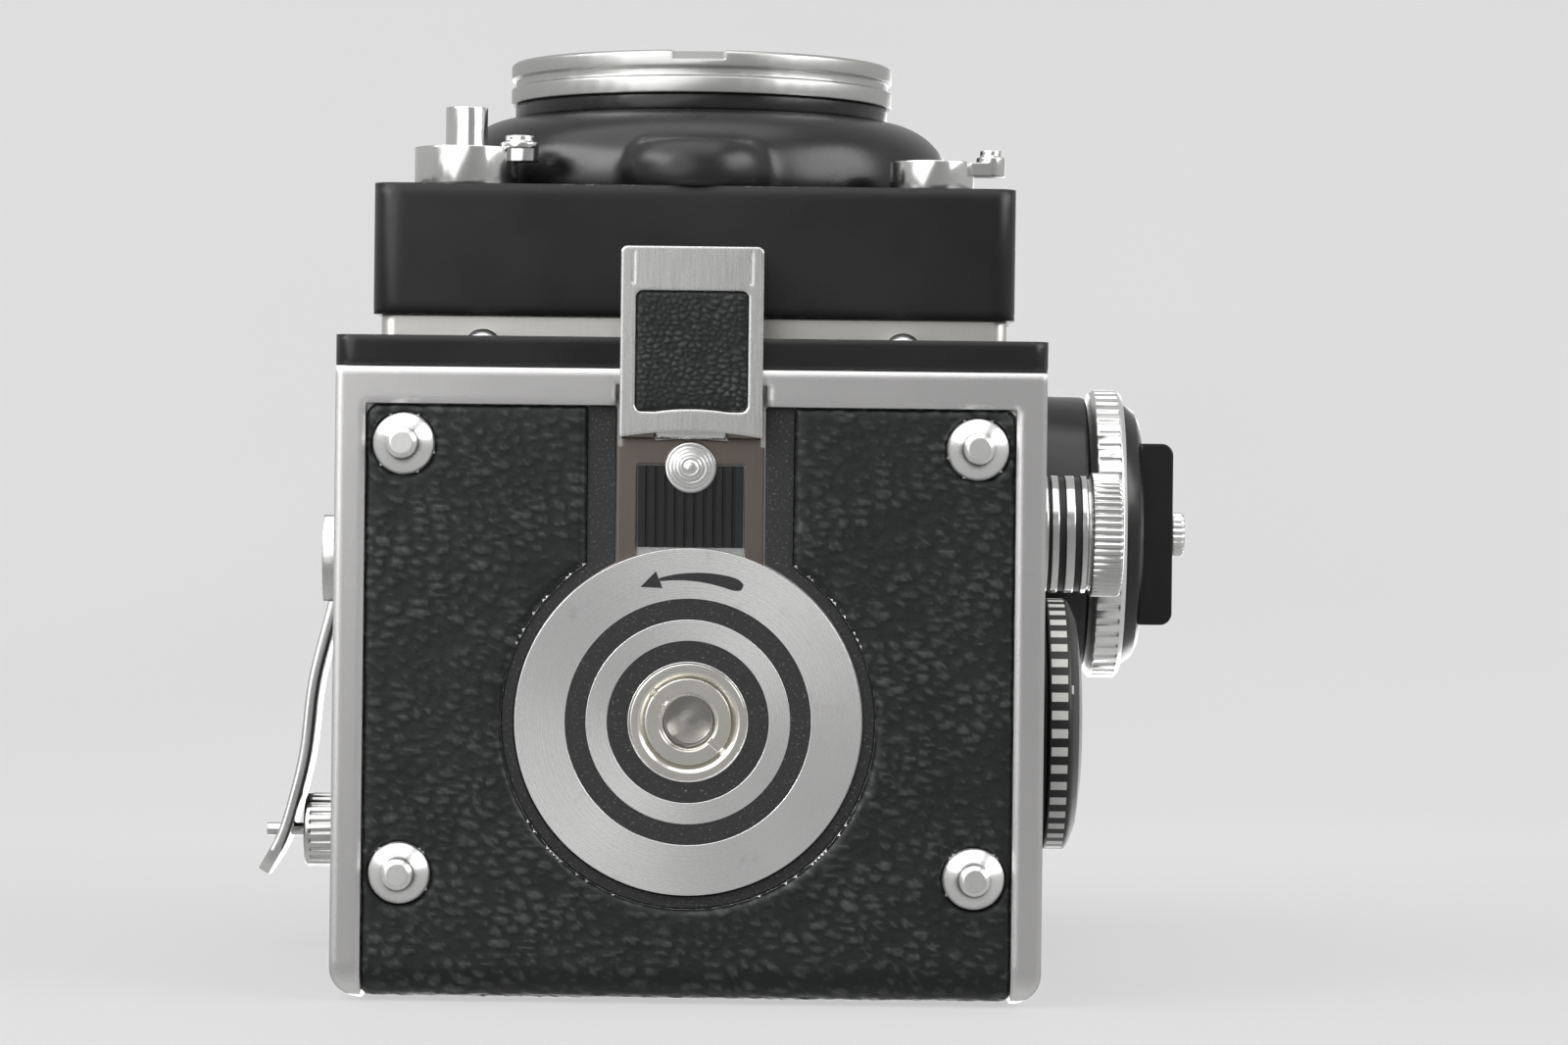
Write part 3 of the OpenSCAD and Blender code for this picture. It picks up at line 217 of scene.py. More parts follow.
def turned_metal(name, colour, rough, centre, axis, rings=9000.0, depth=0.0015):
    """Metal with the concentric marks of a lathe, round an axis through centre."""
    s = Shader(name, 0.1)
    away = s.add("ShaderNodeVectorMath", operation="SUBTRACT")
    s.set(away.inputs[0], s.place)
    s.set(away.inputs[1], tuple(c * MM for c in centre))
    flat = s.add("ShaderNodeVectorMath", operation="MULTIPLY")
    s.set(flat.inputs[0], away.outputs[0])
    s.set(flat.inputs[1], tuple(1.0 - abs(a) for a in axis))
    length = s.add("ShaderNodeVectorMath", operation="LENGTH")
    s.set(length.inputs[0], flat.outputs[0])
    marks = s.add("ShaderNodeTexNoise", {"W": length.outputs["Value"], "Scale": rings, "Detail": 2.0},
                  noise_dimensions="1D").outputs["Fac"]
    around = s.add("ShaderNodeVectorMath", operation="CROSS_PRODUCT")
    s.set(around.inputs[0], flat.outputs[0])
    s.set(around.inputs[1], tuple(axis))
    cloud = s.noise(60, 4)
    stain = s.noise(210, 4, 0.6)
    base = s.mix(s.ramp(cloud, 0.4, 0.7), colour, tuple(c * 0.93 for c in colour))
    base = s.mix(s.ramp(marks, 0.4, 0.8, 0.0, 0.4), base, tuple(c * 0.86 for c in colour))
    base = s.mix(s.ramp(stain, 0.62, 0.74, 0.0, 0.35), base, (0.52, 0.47, 0.43))
    s.put(Base_Color=base, Metallic=1.0, Roughness=s.ramp(marks, 0.3, 0.7, rough - 0.03, rough + 0.04),
          Normal=s.bump(marks, depth), Anisotropic=0.75, Tangent=around.outputs[0])
    return s.material


def bright(name, colour=(0.70, 0.70, 0.69), rough=0.12):
    """Polished plating with faint smudges and pin scratches."""
    s = Shader(name, 0.25)
    smudge = s.noise(160, 4)
    base = s.mix(s.ramp(smudge, 0.4, 0.7), colour, tuple(c * 0.86 for c in colour))
    s.put(Base_Color=base, Metallic=1.0, Roughness=s.ramp(smudge, 0.3, 0.7, rough - 0.03, rough + 0.12),
          Normal=s.bump(s.noise(1800, 3), 0.004))
    return s.material


def moulded(name, shade=0.012, rough=0.45):
    s = Shader(name)
    grain = s.noise(2500, 2)
    colour = s.mix(s.ramp(s.noise(120, 3), 0.35, 0.65), (shade,) * 3, (shade * 1.6,) * 3)
    s.put(Base_Color=colour, Roughness=rough, Normal=s.bump(grain, 0.02))
    return s.material


def brass(name):
    s = Shader(name)
    tarnish = s.noise(240, 4)
    colour = s.mix(s.ramp(tarnish, 0.35, 0.65), (0.66, 0.52, 0.27), (0.36, 0.27, 0.13))
    s.put(Base_Color=colour, Metallic=1.0, Roughness=s.ramp(tarnish, 0.3, 0.7, 0.22, 0.42),
          Normal=s.bump(s.noise(1500, 3), 0.01))
    return s.material


def coated_glass(name):
    """Lens glass: dark inside, with a violet and amber coating that shows at a slant."""
    s = Shader(name)
    facing = s.add("ShaderNodeLayerWeight", {"Blend": 0.35}).outputs["Facing"]
    tint = s.mix(s.ramp(facing, 0.05, 0.7), (0.16, 0.10, 0.36), (0.55, 0.34, 0.16))
    dust = s.noise(900, 2)
    s.put(Base_Color=s.mix(s.ramp(dust, 0.70, 0.78, 0.0, 0.25), (0.004, 0.004, 0.007), (0.2, 0.2, 0.2)),
          Roughness=0.03, Specular_IOR_Level=0.9, Specular_Tint=tint, Coat_Weight=0.4,
          Coat_Roughness=0.02)
    return s.material


def clear_glass(name):
    s = Shader(name)
    dust = s.noise(900, 2)
    s.put(Base_Color=(0.9, 0.95, 0.95, 1), Roughness=s.ramp(dust, 0.6, 0.8, 0.02, 0.12),
          Transmission_Weight=1.0, IOR=1.5)
    return s.material


def ground_glass(name):
    s = Shader(name)
    grain = s.noise(5000, 2)
    rings = s.noise(40, 2)
    s.put(Base_Color=s.mix(rings, (0.42, 0.45, 0.43), (0.50, 0.52, 0.50)), Roughness=0.35,
          Normal=s.bump(grain, 0.02))
    return s.material


def silvered(name):
    s = Shader(name)
    s.put(Base_Color=s.mix(s.noise(60, 2), (0.82, 0.85, 0.88), (0.88, 0.9, 0.9)), Metallic=1.0,
          Roughness=s.ramp(s.noise(200, 3), 0.4, 0.8, 0.02, 0.1))
    return s.material


def painted_mark(name, colour):
    """Paint filled into an engraved mark."""
    s = Shader(name)
    worn = s.noise(1400, 4, 0.7)
    s.put(Base_Color=s.mix(s.ramp(worn, 0.55, 0.75, 0, 0.4), colour, tuple(c * 0.6 for c in colour)),
          Roughness=0.45, Normal=s.bump(worn, 0.01))
    return s.material


def cloth(name):
    """The stage: matt, pale, faintly mottled."""
    s = Shader(name)
    mottle = s.noise(3.2, 3)
    s.put(Base_Color=s.mix(s.ramp(mottle, 0.3, 0.7), (0.11, 0.109, 0.11), (0.13, 0.129, 0.13)),
          Roughness=0.9, Specular_IOR_Level=0.1, Emission_Color=(0.8, 0.79, 0.8, 1),
          Emission_Strength=0.68)
    return s


DISC = centre_mm("lock_disc")
M = {
    "enamel": enamel("enamel"),
    "housing": enamel("housing_enamel", 0.0055, 0.24, edge_wear_and_highlight=0.9, rounding=2.0),
    "plate": enamel("plate_enamel", 0.006, 0.2, edge_wear_and_highlight=0.8, rounding=1.1),
    "crackle": crackle("crackle_black"),
    "leather": leather_skin("grained_leather"),
    "cover": satin("satin_aluminium", (0.80, 0.79, 0.785), 0.22, fine=0.0006, rounding=1.2),
    "strip": satin("brushed_strip", (0.66, 0.65, 0.62), 0.34, (1.0, 0.02, 1.0), 0.006),
    "arm": satin("satin_arm", (0.70, 0.70, 0.69), 0.27, (1.0, 0.05, 1.0), 0.0004, 0.4),
    "slide": satin("brushed_slide", (0.195, 0.165, 0.145), 0.32, (1.0, 0.02, 1.0), 0.005),
    "knob": satin("knob_silver", (0.84, 0.84, 0.83), 0.30, fine=0.001),
    "disc": turned_metal("turned_disc", (0.93, 0.925, 0.92), 0.24, DISC, (0, 0, 1)),
    # The tripod hole's floor: silver turned metal darkened as painted shade inside the deep hole.
    "floor": turned_metal("turned_floor_painted_shade", (0.42, 0.41, 0.40), 0.30, DISC, (0, 0, 1), 5000.0, 0.006),
    "button": turned_metal("turned_button", (0.80, 0.80, 0.79), 0.22, (0, BUTTON_Y, 0), (0, 0, 1)),
    "bright": bright("bright_plating"),
    "nickel": bright("bright_nickel", (0.80, 0.78, 0.72), 0.18),
    "moulded": moulded("black_moulding"),
    "grip": moulded("grip_black", 0.004, 0.34),
    "ring": satin("ring_satin", (0.52, 0.52, 0.51), 0.36, fine=0.001),
    "brass": brass("worn_brass"),
    "coated": coated_glass("coated_glass"),
    "clear": clear_glass("clear_glass"),
    "screen": ground_glass("ground_glass"),
    "mirror": silvered("silvered_glass"),
    "white": painted_mark("white_mark", (0.75, 0.75, 0.72)),
    "black": painted_mark("black_mark", (0.012, 0.012, 0.014)),
}

# ---------------------------------------------------------------- mesh builders


def make_piece(name, points_mm, faces, body, materials, face_material=None, smooth=32.0, slot=None):
    """A mesh object from points in millimetres, riding on a body."""
    mesh = bpy.data.meshes.new(name)
    mesh.from_pydata((np.asarray(points_mm, float) * MM).tolist(), [], faces)
    for key in materials:
        mesh.materials.append(M[key])
    if face_material is not None:
        mesh.polygons.foreach_set("material_index", np.asarray(face_material, np.int32))
    mesh.validate()
    mesh.shade_smooth()
    mesh.set_sharp_from_angle(angle=math.radians(smooth))
    piece = bpy.data.objects.new(name, mesh)
    bpy.context.scene.collection.objects.link(piece)
    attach(piece, body)
    return piece


def round_corners(points, radius, steps=3, closed=False):
    """Rounds the corners of an outline of (a, b) points with small arcs."""
    points = [np.array(p, float) for p in points]
    result = []
    count = len(points)
    for i, corner in enumerate(points):
        if not closed and i in (0, count - 1):
            result.append(corner)
            continue
        before, after = points[i - 1], points[(i + 1) % count]
        length_in, length_out = np.linalg.norm(before - corner), np.linalg.norm(after - corner)
        reach = min(radius, 0.45 * length_in, 0.45 * length_out)
        start = corner + (before - corner) * reach / length_in
        end = corner + (after - corner) * reach / length_out
        for k in range(steps + 1):
            t = k / steps
            result.append((1 - t) ** 2 * start + 2 * t * (1 - t) * corner + t * t * end)
    return result


def side_axes(axis):
    """Two directions square to axis."""
    axis = np.array(axis, float)
    helper = np.array([0.0, 0.0, 1.0]) if abs(axis[2]) < 0.5 else np.array([0.0, 1.0, 0.0])
    first = np.cross(helper, axis)
    first /= np.linalg.norm(first)
    return first, np.cross(axis, first)


def turned(name, outline, centre, axis, body, materials, segments=128, ripple=None, paint=None,
           closed=False, **options):
    """A turned piece. outline holds (radius, distance along axis); it starts and ends on the axis,
    or is a closed loop. ripple(angle, radius, distance) adds to the radius, and
    paint(angle, radius, distance) chooses a material for each face."""
    axis = np.array(axis, float)
    first, second = side_axes(axis)
    angles = np.arange(segments) * 2 * math.pi / segments
    points, rings = [], []
    for radius, along in outline:
        base = np.array(centre, float) + axis * along
        if radius < 1e-6:
            rings.append([len(points)])
            points.append(base)
            continue
        r = np.full(segments, radius)
        if ripple is not None:
            r = r + ripple(angles, radius, along)
        ring = base + np.outer(r * np.cos(angles), first) + np.outer(r * np.sin(angles), second)
        rings.append(list(range(len(points), len(points) + segments)))
        points.extend(ring)
    faces, paints = [], []
    pairs = list(zip(range(len(rings) - 1), range(1, len(rings))))
    if closed:
        pairs.append((len(rings) - 1, 0))
    for i, j in pairs:
        a, b = rings[i], rings[j]
        radius = (outline[i][0] + outline[j][0]) / 2
        along = (outline[i][1] + outline[j][1]) / 2
        for k in range(segments):
            n = (k + 1) % segments
            if len(a) == 1 and len(b) == 1:
                continue
            if len(a) == 1:
                faces.append((a[0], b[k], b[n]))
            elif len(b) == 1:
                faces.append((a[k], b[0], a[n]))
            else:
                faces.append((a[k], b[k], b[n], a[n]))
            middle = (k + 0.5) * 2 * math.pi / segments
            paints.append(paint(middle, radius, along) if paint else 0)
    piece = make_piece(name, points, faces, body, materials, paints, **options)
    return outward(piece)


def outward(piece):
    """Makes the faces of a closed mesh look out."""
    mesh = piece.data
    points = np.array([v.co for v in mesh.vertices])
    volume = 0.0
    for p in mesh.polygons:
        a = points[p.vertices[0]]
        for k in range(1, len(p.vertices) - 1):
            volume += np.dot(a, np.cross(points[p.vertices[k]], points[p.vertices[k + 1]]))
    if volume < 0:
        mesh.flip_normals()
    return piece


def cells(u, v, seed):
    """Distances to the nearest and second nearest of a set of jittered points."""
    iu, iv = np.floor(u), np.floor(v)
    nearest = np.full(u.shape, 9.0)
    second = np.full(u.shape, 9.0)
    for du in (-1, 0, 1):
        for dv in (-1, 0, 1):
            cu, cv = iu + du, iv + dv
            h1 = np.modf(np.abs(np.sin(cu * 127.1 + cv * 311.7 + seed) * 43758.5453))[0]
            h2 = np.modf(np.abs(np.sin(cu * 269.5 + cv * 183.3 + seed * 1.7) * 24634.6345))[0]
            d = np.hypot(u - cu - h1, v - cv - h2)
            second = np.minimum(second, np.maximum(nearest, d))
            nearest = np.minimum(nearest, d)
    return nearest, second


def waves(u, v, seed):
    """A smooth wandering value between about -1 and 1."""
    return (np.sin(u * 1.0 + 1.7 * np.sin(v * 0.61 + seed)) * np.cos(v * 0.83 + seed * 2.1)
            + 0.5 * np.sin(u * 2.3 + v * 1.9 + seed * 3.3)) / 1.5


def grain(u, v, long_mm, short_mm, seed=1.0):
    """Leather grain between 0 in a crease and 1 on a ridge, its pebbles long_mm by short_mm."""
    u2 = u + 0.9 * waves(u / 3.1, v / 2.3, seed)
    v2 = v + 0.55 * waves(u / 4.3, v / 3.7, seed + 5)
    near, far = cells(u2 / long_mm, v2 / short_mm, seed)
    near2, far2 = cells(u2 / long_mm * 2.3 + 7, v2 / short_mm * 2.1 + 3, seed + 9)
    pebble = np.clip((far - near) / 0.55, 0, 1) ** 0.8
    small = np.clip((far2 - near2) / 0.6, 0, 1)
    high = 0.5 + 0.5 * waves(u / 5.7, v / 3.3, seed + 2)
    return np.clip(pebble * (0.55 + 0.45 * high) * 0.75 + 0.3 * small, 0, 1)


def sheet(name, low, high, step, inside, place, thick, relief, body, materials, seed=1.0,
          pebble=(2.2, 1.1), **options):
    """A closed leather sheet over a rectangle of (u, v), kept where inside(u, v) is above 0.
    place(u, v, lift) gives points in space; the sheet lies between lift 0 and about thick."""
    us = np.linspace(low[0], high[0], int((high[0] - low[0]) / step) + 1)
    vs = np.linspace(low[1], high[1], int((high[1] - low[1]) / step) + 1)
    u, v = np.meshgrid(us, vs, indexing="ij")
    d = inside(u, v)
    h = 0.05
    gu = (inside(u + h, v) - inside(u - h, v)) / (2 * h)
    gv = (inside(u, v + h) - inside(u, v - h)) / (2 * h)
    size = np.maximum(np.hypot(gu, gv), 1e-6)
    snap = np.abs(d) < 0.6 * step
    u = np.where(snap, u - d * gu / size ** 2, u)
    v = np.where(snap, v - d * gv / size ** 2, v)
    keep_point = (d > 0) | snap
    d = np.where(snap, 0.0, d)
    quad = keep_point[:-1, :-1] & keep_point[1:, :-1] & keep_point[1:, 1:] & keep_point[:-1, 1:]
    index = np.arange(u.size).reshape(u.shape)
    quads = np.stack([index[:-1, :-1], index[1:, :-1], index[1:, 1:], index[:-1, 1:]], -1)[quad]
    used, quads = np.unique(quads, return_inverse=True)
    quads = quads.reshape(-1, 4)
    u, v, d = u.ravel()[used], v.ravel()[used], np.maximum(d.ravel()[used], 0)
    ridge = grain(u, v, pebble[0], pebble[1], seed)
    roll = 1 - np.exp(-d / 0.28)
    lift = thick * (0.35 + 0.65 * roll) + relief * (ridge - 0.75) * roll
    top = place(u, v, lift)
    bottom = place(u, v, np.zeros_like(lift))
    count = len(u)
    edges = np.concatenate([quads[:, [0, 1]], quads[:, [1, 2]], quads[:, [2, 3]], quads[:, [3, 0]]])
    key = {}
    for a, b in edges.tolist():
        if (b, a) in key:
            del key[(b, a)]
        else:
            key[(a, b)] = True
    walls = [(b, a, a + count, b + count) for a, b in key]
    faces = quads.tolist() + (quads[:, ::-1] + count).tolist() + walls
    piece = make_piece(name, np.concatenate([top, bottom]), faces, body, materials,
                       smooth=60.0, **options)
    attribute = piece.data.attributes.new("ridge", "FLOAT", "POINT")
    attribute.data.foreach_set("value", np.concatenate([ridge, np.zeros(count)]).astype(np.float32))
    return outward(piece)


def rounded_box_distance(u, v, low, high, radius):
    """Distance inside the edge of a rectangle with round corners."""
    cu, cv = (low[0] + high[0]) / 2, (low[1] + high[1]) / 2
    du = np.abs(u - cu) - (high[0] - low[0]) / 2 + radius
    dv = np.abs(v - cv) - (high[1] - low[1]) / 2 + radius
    outside = np.hypot(np.maximum(du, 0), np.maximum(dv, 0))
    return -(outside + np.minimum(np.maximum(du, dv), 0) - radius)


def round_hole(u, v, at, radius):
    """Distance outside a round hole."""
    return np.hypot(u - at[0], v - at[1]) - radius


def apply_modifiers(piece):
    """Bakes a piece's modifiers into its mesh."""
    graph = bpy.context.evaluated_depsgraph_get()
    mesh = bpy.data.meshes.new_from_object(piece.evaluated_get(graph))
    piece.modifiers.clear()
    piece.data = mesh
    return piece


def machined(node, material, bevel=0.25, angle=28.0, segments=3):
    """Gives a CAD node its material and softens its edges."""
    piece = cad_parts[node]
    piece.data.materials.clear()
    piece.data.materials.append(M[material])
    if bevel:
        weld = piece.modifiers.new("weld", "WELD")
        weld.merge_threshold = 2e-6
        soft = piece.modifiers.new("bevel", "BEVEL")
        soft.width = bevel * MM
        soft.segments = segments
        soft.limit_method = "ANGLE"
        soft.angle_limit = math.radians(angle)
        soft.use_clamp_overlap = True
        soft.harden_normals = True
    return piece


# ---------------------------------------------------------------- the object


def back_leather():
    """The base and the back are one piece of leather, carried round the fillet between them."""
    low, high = box_mm("back_leather")
    straight = BACK_Y - FILLET
    front = low[1]
    arc = (FILLET - BED) * math.pi / 2
    length = (straight - front) + arc + (high[2] - FILLET)
    feet = [(x, y) for x in (-FOOT_X, FOOT_X) for y in FOOT_Y]

    def inside(u, v):
        y = front + v
        edge = rounded_box_distance(u, v, (low[0], 0), (high[0], length), 1.2)
        edge = edge + 0.08 * waves(u * 3.1, v * 3.7, 4.0)
        edge = np.minimum(edge, np.maximum(np.abs(u) - 11.4, y))
        edge = np.minimum(edge, round_hole(u, y, (0, 0), 20.6))
        for foot in feet:
            edge = np.minimum(edge, round_hole(u, y, foot, 3.4))
        return edge

    def place(u, v, lift):
        s = v - (straight - front)
        turn = np.clip(s / arc, 0, 1) * math.pi / 2
        radius = FILLET - BED + lift
        flat_y = front + v
        y = np.where(s <= 0, flat_y, straight + radius * np.sin(turn))
        z = np.where(s <= 0, BED - lift, FILLET - radius * np.cos(turn))
        z = np.where(s > arc, FILLET + (s - arc), z)
        return np.stack([u, y, z], -1)

    piece = sheet("base_and_back_leather", (low[0] - 0.4, -0.4), (high[0] + 0.4, length + 0.4), 0.36,
                  inside, place, 0.78, 0.20, "back_door", ["leather"], seed=2.0, slot="leather")
    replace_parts(piece, "back_leather")


def side_leather(side):
    """Leather of one side; side is -1 or 1."""
    low, high = box_mm("side_leathers")
    name = "side_leather_right" if side > 0 else "side_leather_left"
    holes = [(-6.0, 113.0, 3.2)]
    if side > 0:
        holes += [(-21.0, 17.0, 8.0), (-21.0, 92.0, 19.5), (2.4, 64.0, 16.0)]
    else:
        holes += [(-17.0, 66.0, 13.0)]

    def inside(u, v):
        edge = rounded_box_distance(u, v, low[1:], high[1:], 1.2)
        for y, z, radius in holes:
            edge = np.minimum(edge, round_hole(u, v, (y, z), radius))
        return edge

    def place(u, v, lift):
        return np.stack([side * (SHELL_X + lift), u, v], -1)

    piece = sheet(name, low[1:] - 0.4, high[1:] + 0.4, 0.5, inside, place, 0.72, 0.2,
                  "body", ["leather"], seed=3.0 + side, slot="leather")
    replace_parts(piece, "side_leathers")


def latch_leather():
    """The small inset of the latch arm; its rear edge follows the slide's curve."""
    def inside(u, v):
        edge = rounded_box_distance(u, v, (-6.12, -47.12), (6.12, -33.0), 0.8)
        return np.minimum(edge, round_hole(u, v, (0, -8.0), 26.28))

    def place(u, v, lift):
        return np.stack([u, v, -1.0 - lift], -1)

    piece = sheet("latch_arm_inset", (-6.5, -47.5), (6.5, -33.0), 0.16, inside, place, 0.5, 0.22,
                  "latch_arm", ["leather"], seed=8.0, pebble=(0.85, 0.62), slot="leather")
    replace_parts(piece, "latch_arm_leather")


back_leather()
side_leather(1)
side_leather(-1)
latch_leather()


def disc_details():
    """Black fillings of the lock disc's two grooves, and its arrow."""
    z = (0.06, 0.2)
    for name, inner, outer in (("disc_ring_outer", 11.23, 13.47), ("disc_ring_inner", 6.63, 8.87)):
        loop = [(inner, -z[0]), (outer, -z[0]), (outer, -z[1]), (inner, -z[1])]
        turned(name, loop, (0, 0, 0), (0, 0, -1), "lock_disc", ["crackle"], segments=144,
               closed=True, slot="black_paint")
    radius = 15.9
    start, end = math.radians(-68.5), math.radians(-102.0)
    steps = 24
    outer, inner = [], []
    for i in range(steps + 1):
        t = i / steps
        a = start + (end - start) * t
        half = 0.62 * (1 - t) ** 0.8 + 0.16
        if i < 4:
            half *= math.sqrt(1 - ((4 - i) / 4.4) ** 2)
        outer.append(((radius + half) * math.cos(a), (radius + half) * math.sin(a)))
        inner.append(((radius - half) * math.cos(a), (radius - half) * math.sin(a)))
    neck = np.array([radius * math.cos(end), radius * math.sin(end)])
    along = np.array([-0.93, 0.37])
    across = np.array([-along[1], along[0]])
    head = [neck + across, neck + 2.2 * along, neck - across]
    band = outer + [tuple(p) for p in (head[2], head[1], head[0])] + inner[::-1]
    count = len(band)
    points = [(x, y, -0.035) for x, y in band] + [(x, y, 0.01) for x, y in band]
    caps = []
    for i in range(steps):
        j, k = count - 1 - i, count - 2 - i
        caps.append((i, i + 1, k, j))
    tip = (steps + 1, steps + 2, steps + 3)
    caps.append((steps, tip[0], tip[1], tip[2], steps + 4))
    faces = caps + [tuple(i + count for i in face[::-1]) for face in caps]
    faces += [((i + 1) % count, i, i + count, (i + 1) % count + count) for i in range(count)]
    outward(make_piece("disc_arrow", points, faces, "lock_disc", ["black"], slot="black_paint"))


def socket_details():
    """The turned floor of the tripod hole, darkened as painted shade of the deep hole, and the thread
    of its adapter.
    """
    floor = [(0, 6.15), (3.12, 6.15), (3.12, 5.7), (2.85, 5.72), (2.6, 5.9), (0.5, 5.86), (0, 5.75)]
    floor = [(r, -z) for r, z in floor]
    turned("socket_floor", floor, (0, 0, 0), (0, 0, -1), "back_door", ["floor"], segments=72,
           slot="turned_aluminium")
    pitch, crest = 1.27, 0.3
    steps = 40
    inner = [(3.0, -0.5 - 5.1 * i / steps) for i in range(steps + 1)]

    def thread(angle, radius, along):
        if radius > 3.1:
            return 0 * angle
        phase = np.mod(-along / pitch - angle / (2 * math.pi), 1.0)
        return crest * (np.abs(2 * phase - 1) - 0.75)

    turned("adapter_thread", inner + [(3.16, -5.6), (3.16, -0.5)], (0, 0, 0), (0, 0, -1),
           "back_door", ["nickel"], segments=72, ripple=thread, closed=True, slot="brass_plug")


def lens_housing():
    """The raised housing round both lenses: its domes run into one another softly."""
    front = box_mm("lens_board")[0][1]
    bump_z = 16.5

    def dome(name, z, outline):
        outline = round_corners(outline, 2.4, 5)
        return turned(name, [(r, -y) for r, y in outline], (0, 0, z), (0, -1, 0), "front_standard",
                      ["housing"], segments=144)

    base = front + 0.6
    main = dome("lens_housing", TAKING_Z, [
        (0, base), (29.9, base), (29.7, front - 2), (28.9, front - 5.6), (26.6, front - 8.1),
        (23.6, front - 9.5), (0, front - 9.5)])
    others = [
        dome("dome_viewing", VIEWING_Z, [(0, base), (22.0, base), (21.8, front - 3),
                                       (21.0, front - 5.6), (19.2, front - 6.7), (0, front - 6.7)]),
        dome("dome_bump", bump_z, [(0, base), (9.6, base), (9.3, front - 3.6), (7.8, front - 5.6),
                                 (0, front - 5.9)])]
    for other in others:
        union = main.modifiers.new("union", "BOOLEAN")
        union.operation, union.object = "UNION", other
    remesh = main.modifiers.new("remesh", "REMESH")
    remesh.mode, remesh.voxel_size, remesh.use_smooth_shade = "VOXEL", 0.42 * MM, True
    smooth = main.modifiers.new("smooth", "SMOOTH")
    smooth.factor, smooth.iterations = 0.5, 14
    apply_modifiers(main)
    for other in others:
        bpy.data.objects.remove(other)
    for z, radius in ((TAKING_Z, 21.5), (VIEWING_Z, 15.0)):
        drill = turned("drill", [(0, -2), (radius, -2), (radius, 20), (0, 20)], (0, front, z),
                       (0, -1, 0), "front_standard", ["housing"], segments=144)
        cut = main.modifiers.new("bore", "BOOLEAN")
        cut.operation, cut.object = "DIFFERENCE", drill
        apply_modifiers(main)
        bpy.data.objects.remove(drill)
    main.data.shade_smooth()
    main.data.set_sharp_from_angle(angle=math.radians(50))
    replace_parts(main, "lens_surround")


def film_dial():
    """The film dial: black and white strokes round its rim, and a white index notch."""
    low, high = box_mm("film_dial")
    centre = (0, (low[1] + high[1]) / 2, (low[2] + high[2]) / 2)
    strokes, index_angle = 44, math.radians(252)
    shell = SHELL_X + 0.2
    step = HALF_W + 0.25
    outline = [(0, 34.0), (2.0, 34.0), (2.0, shell)] + round_corners(
        [(2.0, shell), (8.0, shell), (8.0, step), (14.6, step), (14.6, 42.3), (15.4, 42.3),
         (15.4, 44.9), (14.9, 45.3), (13.0, 46.1), (9.0, 46.7), (5.0, 46.9), (0, 46.9)], 0.35)[1:]

    def paint(angle, radius, along):
        if radius < 15.2 or not 42.6 < along < 44.7:
            return 0
        return 1 if (angle * strokes / (2 * math.pi)) % 1 < 0.5 else 0

    dial = turned("film_dial_striped", outline, centre, (1, 0, 0), "film_dial", ["moulded", "white"],
                  segments=strokes * 4, paint=paint, slot="black_plastic")
    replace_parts(dial, "film_dial")
    index = [(14.5, 0.0), (15.2, 0.05), (15.2, 1.1), (14.4, 1.2)]
    points = []
    for x in (45.3, 44.9):
        for r, t in index:
            a = index_angle + (t - 0.6) / r
            points.append((x, centre[1] + r * math.cos(a), centre[2] + r * math.sin(a)))
    faces = [(0, 1, 2, 3), (7, 6, 5, 4)] + [(i, (i + 1) % 4, (i + 1) % 4 + 4, i + 4)
                                            for i in range(4)]
    outward(make_piece("dial_index", points, faces, "film_dial", ["white"], slot="black_plastic"))


def spool_knob():
    """Plated knob of the feed spool: black bands round its neck and a knurled rim."""
    low, high = box_mm("knob_sleeve")
    centre = (0, (low[1] + high[1]) / 2, (low[2] + high[2]) / 2)
    bands = ((39.9, 40.3), (41.1, 41.9), (42.9, 43.7))
    outline = [(0, 39.2), (6.3, 39.2), (6.6, 39.4)]
    for x0, x1 in bands:
        outline += [(6.6, x0), (6.42, x0 + 0.08), (6.42, x1 - 0.08), (6.6, x1)]
    outline += [(6.6, 44.3), (6.2, 44.45), (6.2, 44.7), (6.75, 44.8), (7.0, 45.0), (7.0, 48.0),
                (6.7, 48.3), (6.0, 48.4), (5.6, 48.2), (0, 48.2)]

    def knurl(angle, radius, along):
        if radius < 6.7 or along < 44.75:
            return 0 * angle
        wave = np.abs(np.mod(angle * 52 / (2 * math.pi), 1.0) * 2 - 1)
        return -0.34 * wave ** 1.5 * min(1.0, (radius - 6.6) / 0.3)

    def paint(angle, radius, along):
        return 1 if any(x0 < along < x1 for x0, x1 in bands) else 0

    knob = turned("spool_knob_head", outline, centre, (1, 0, 0), "spool_knob", ["bright", "black"],
                  segments=52 * 6, ripple=knurl, paint=paint, slot="chrome")
    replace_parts(knob, "spool_knob")


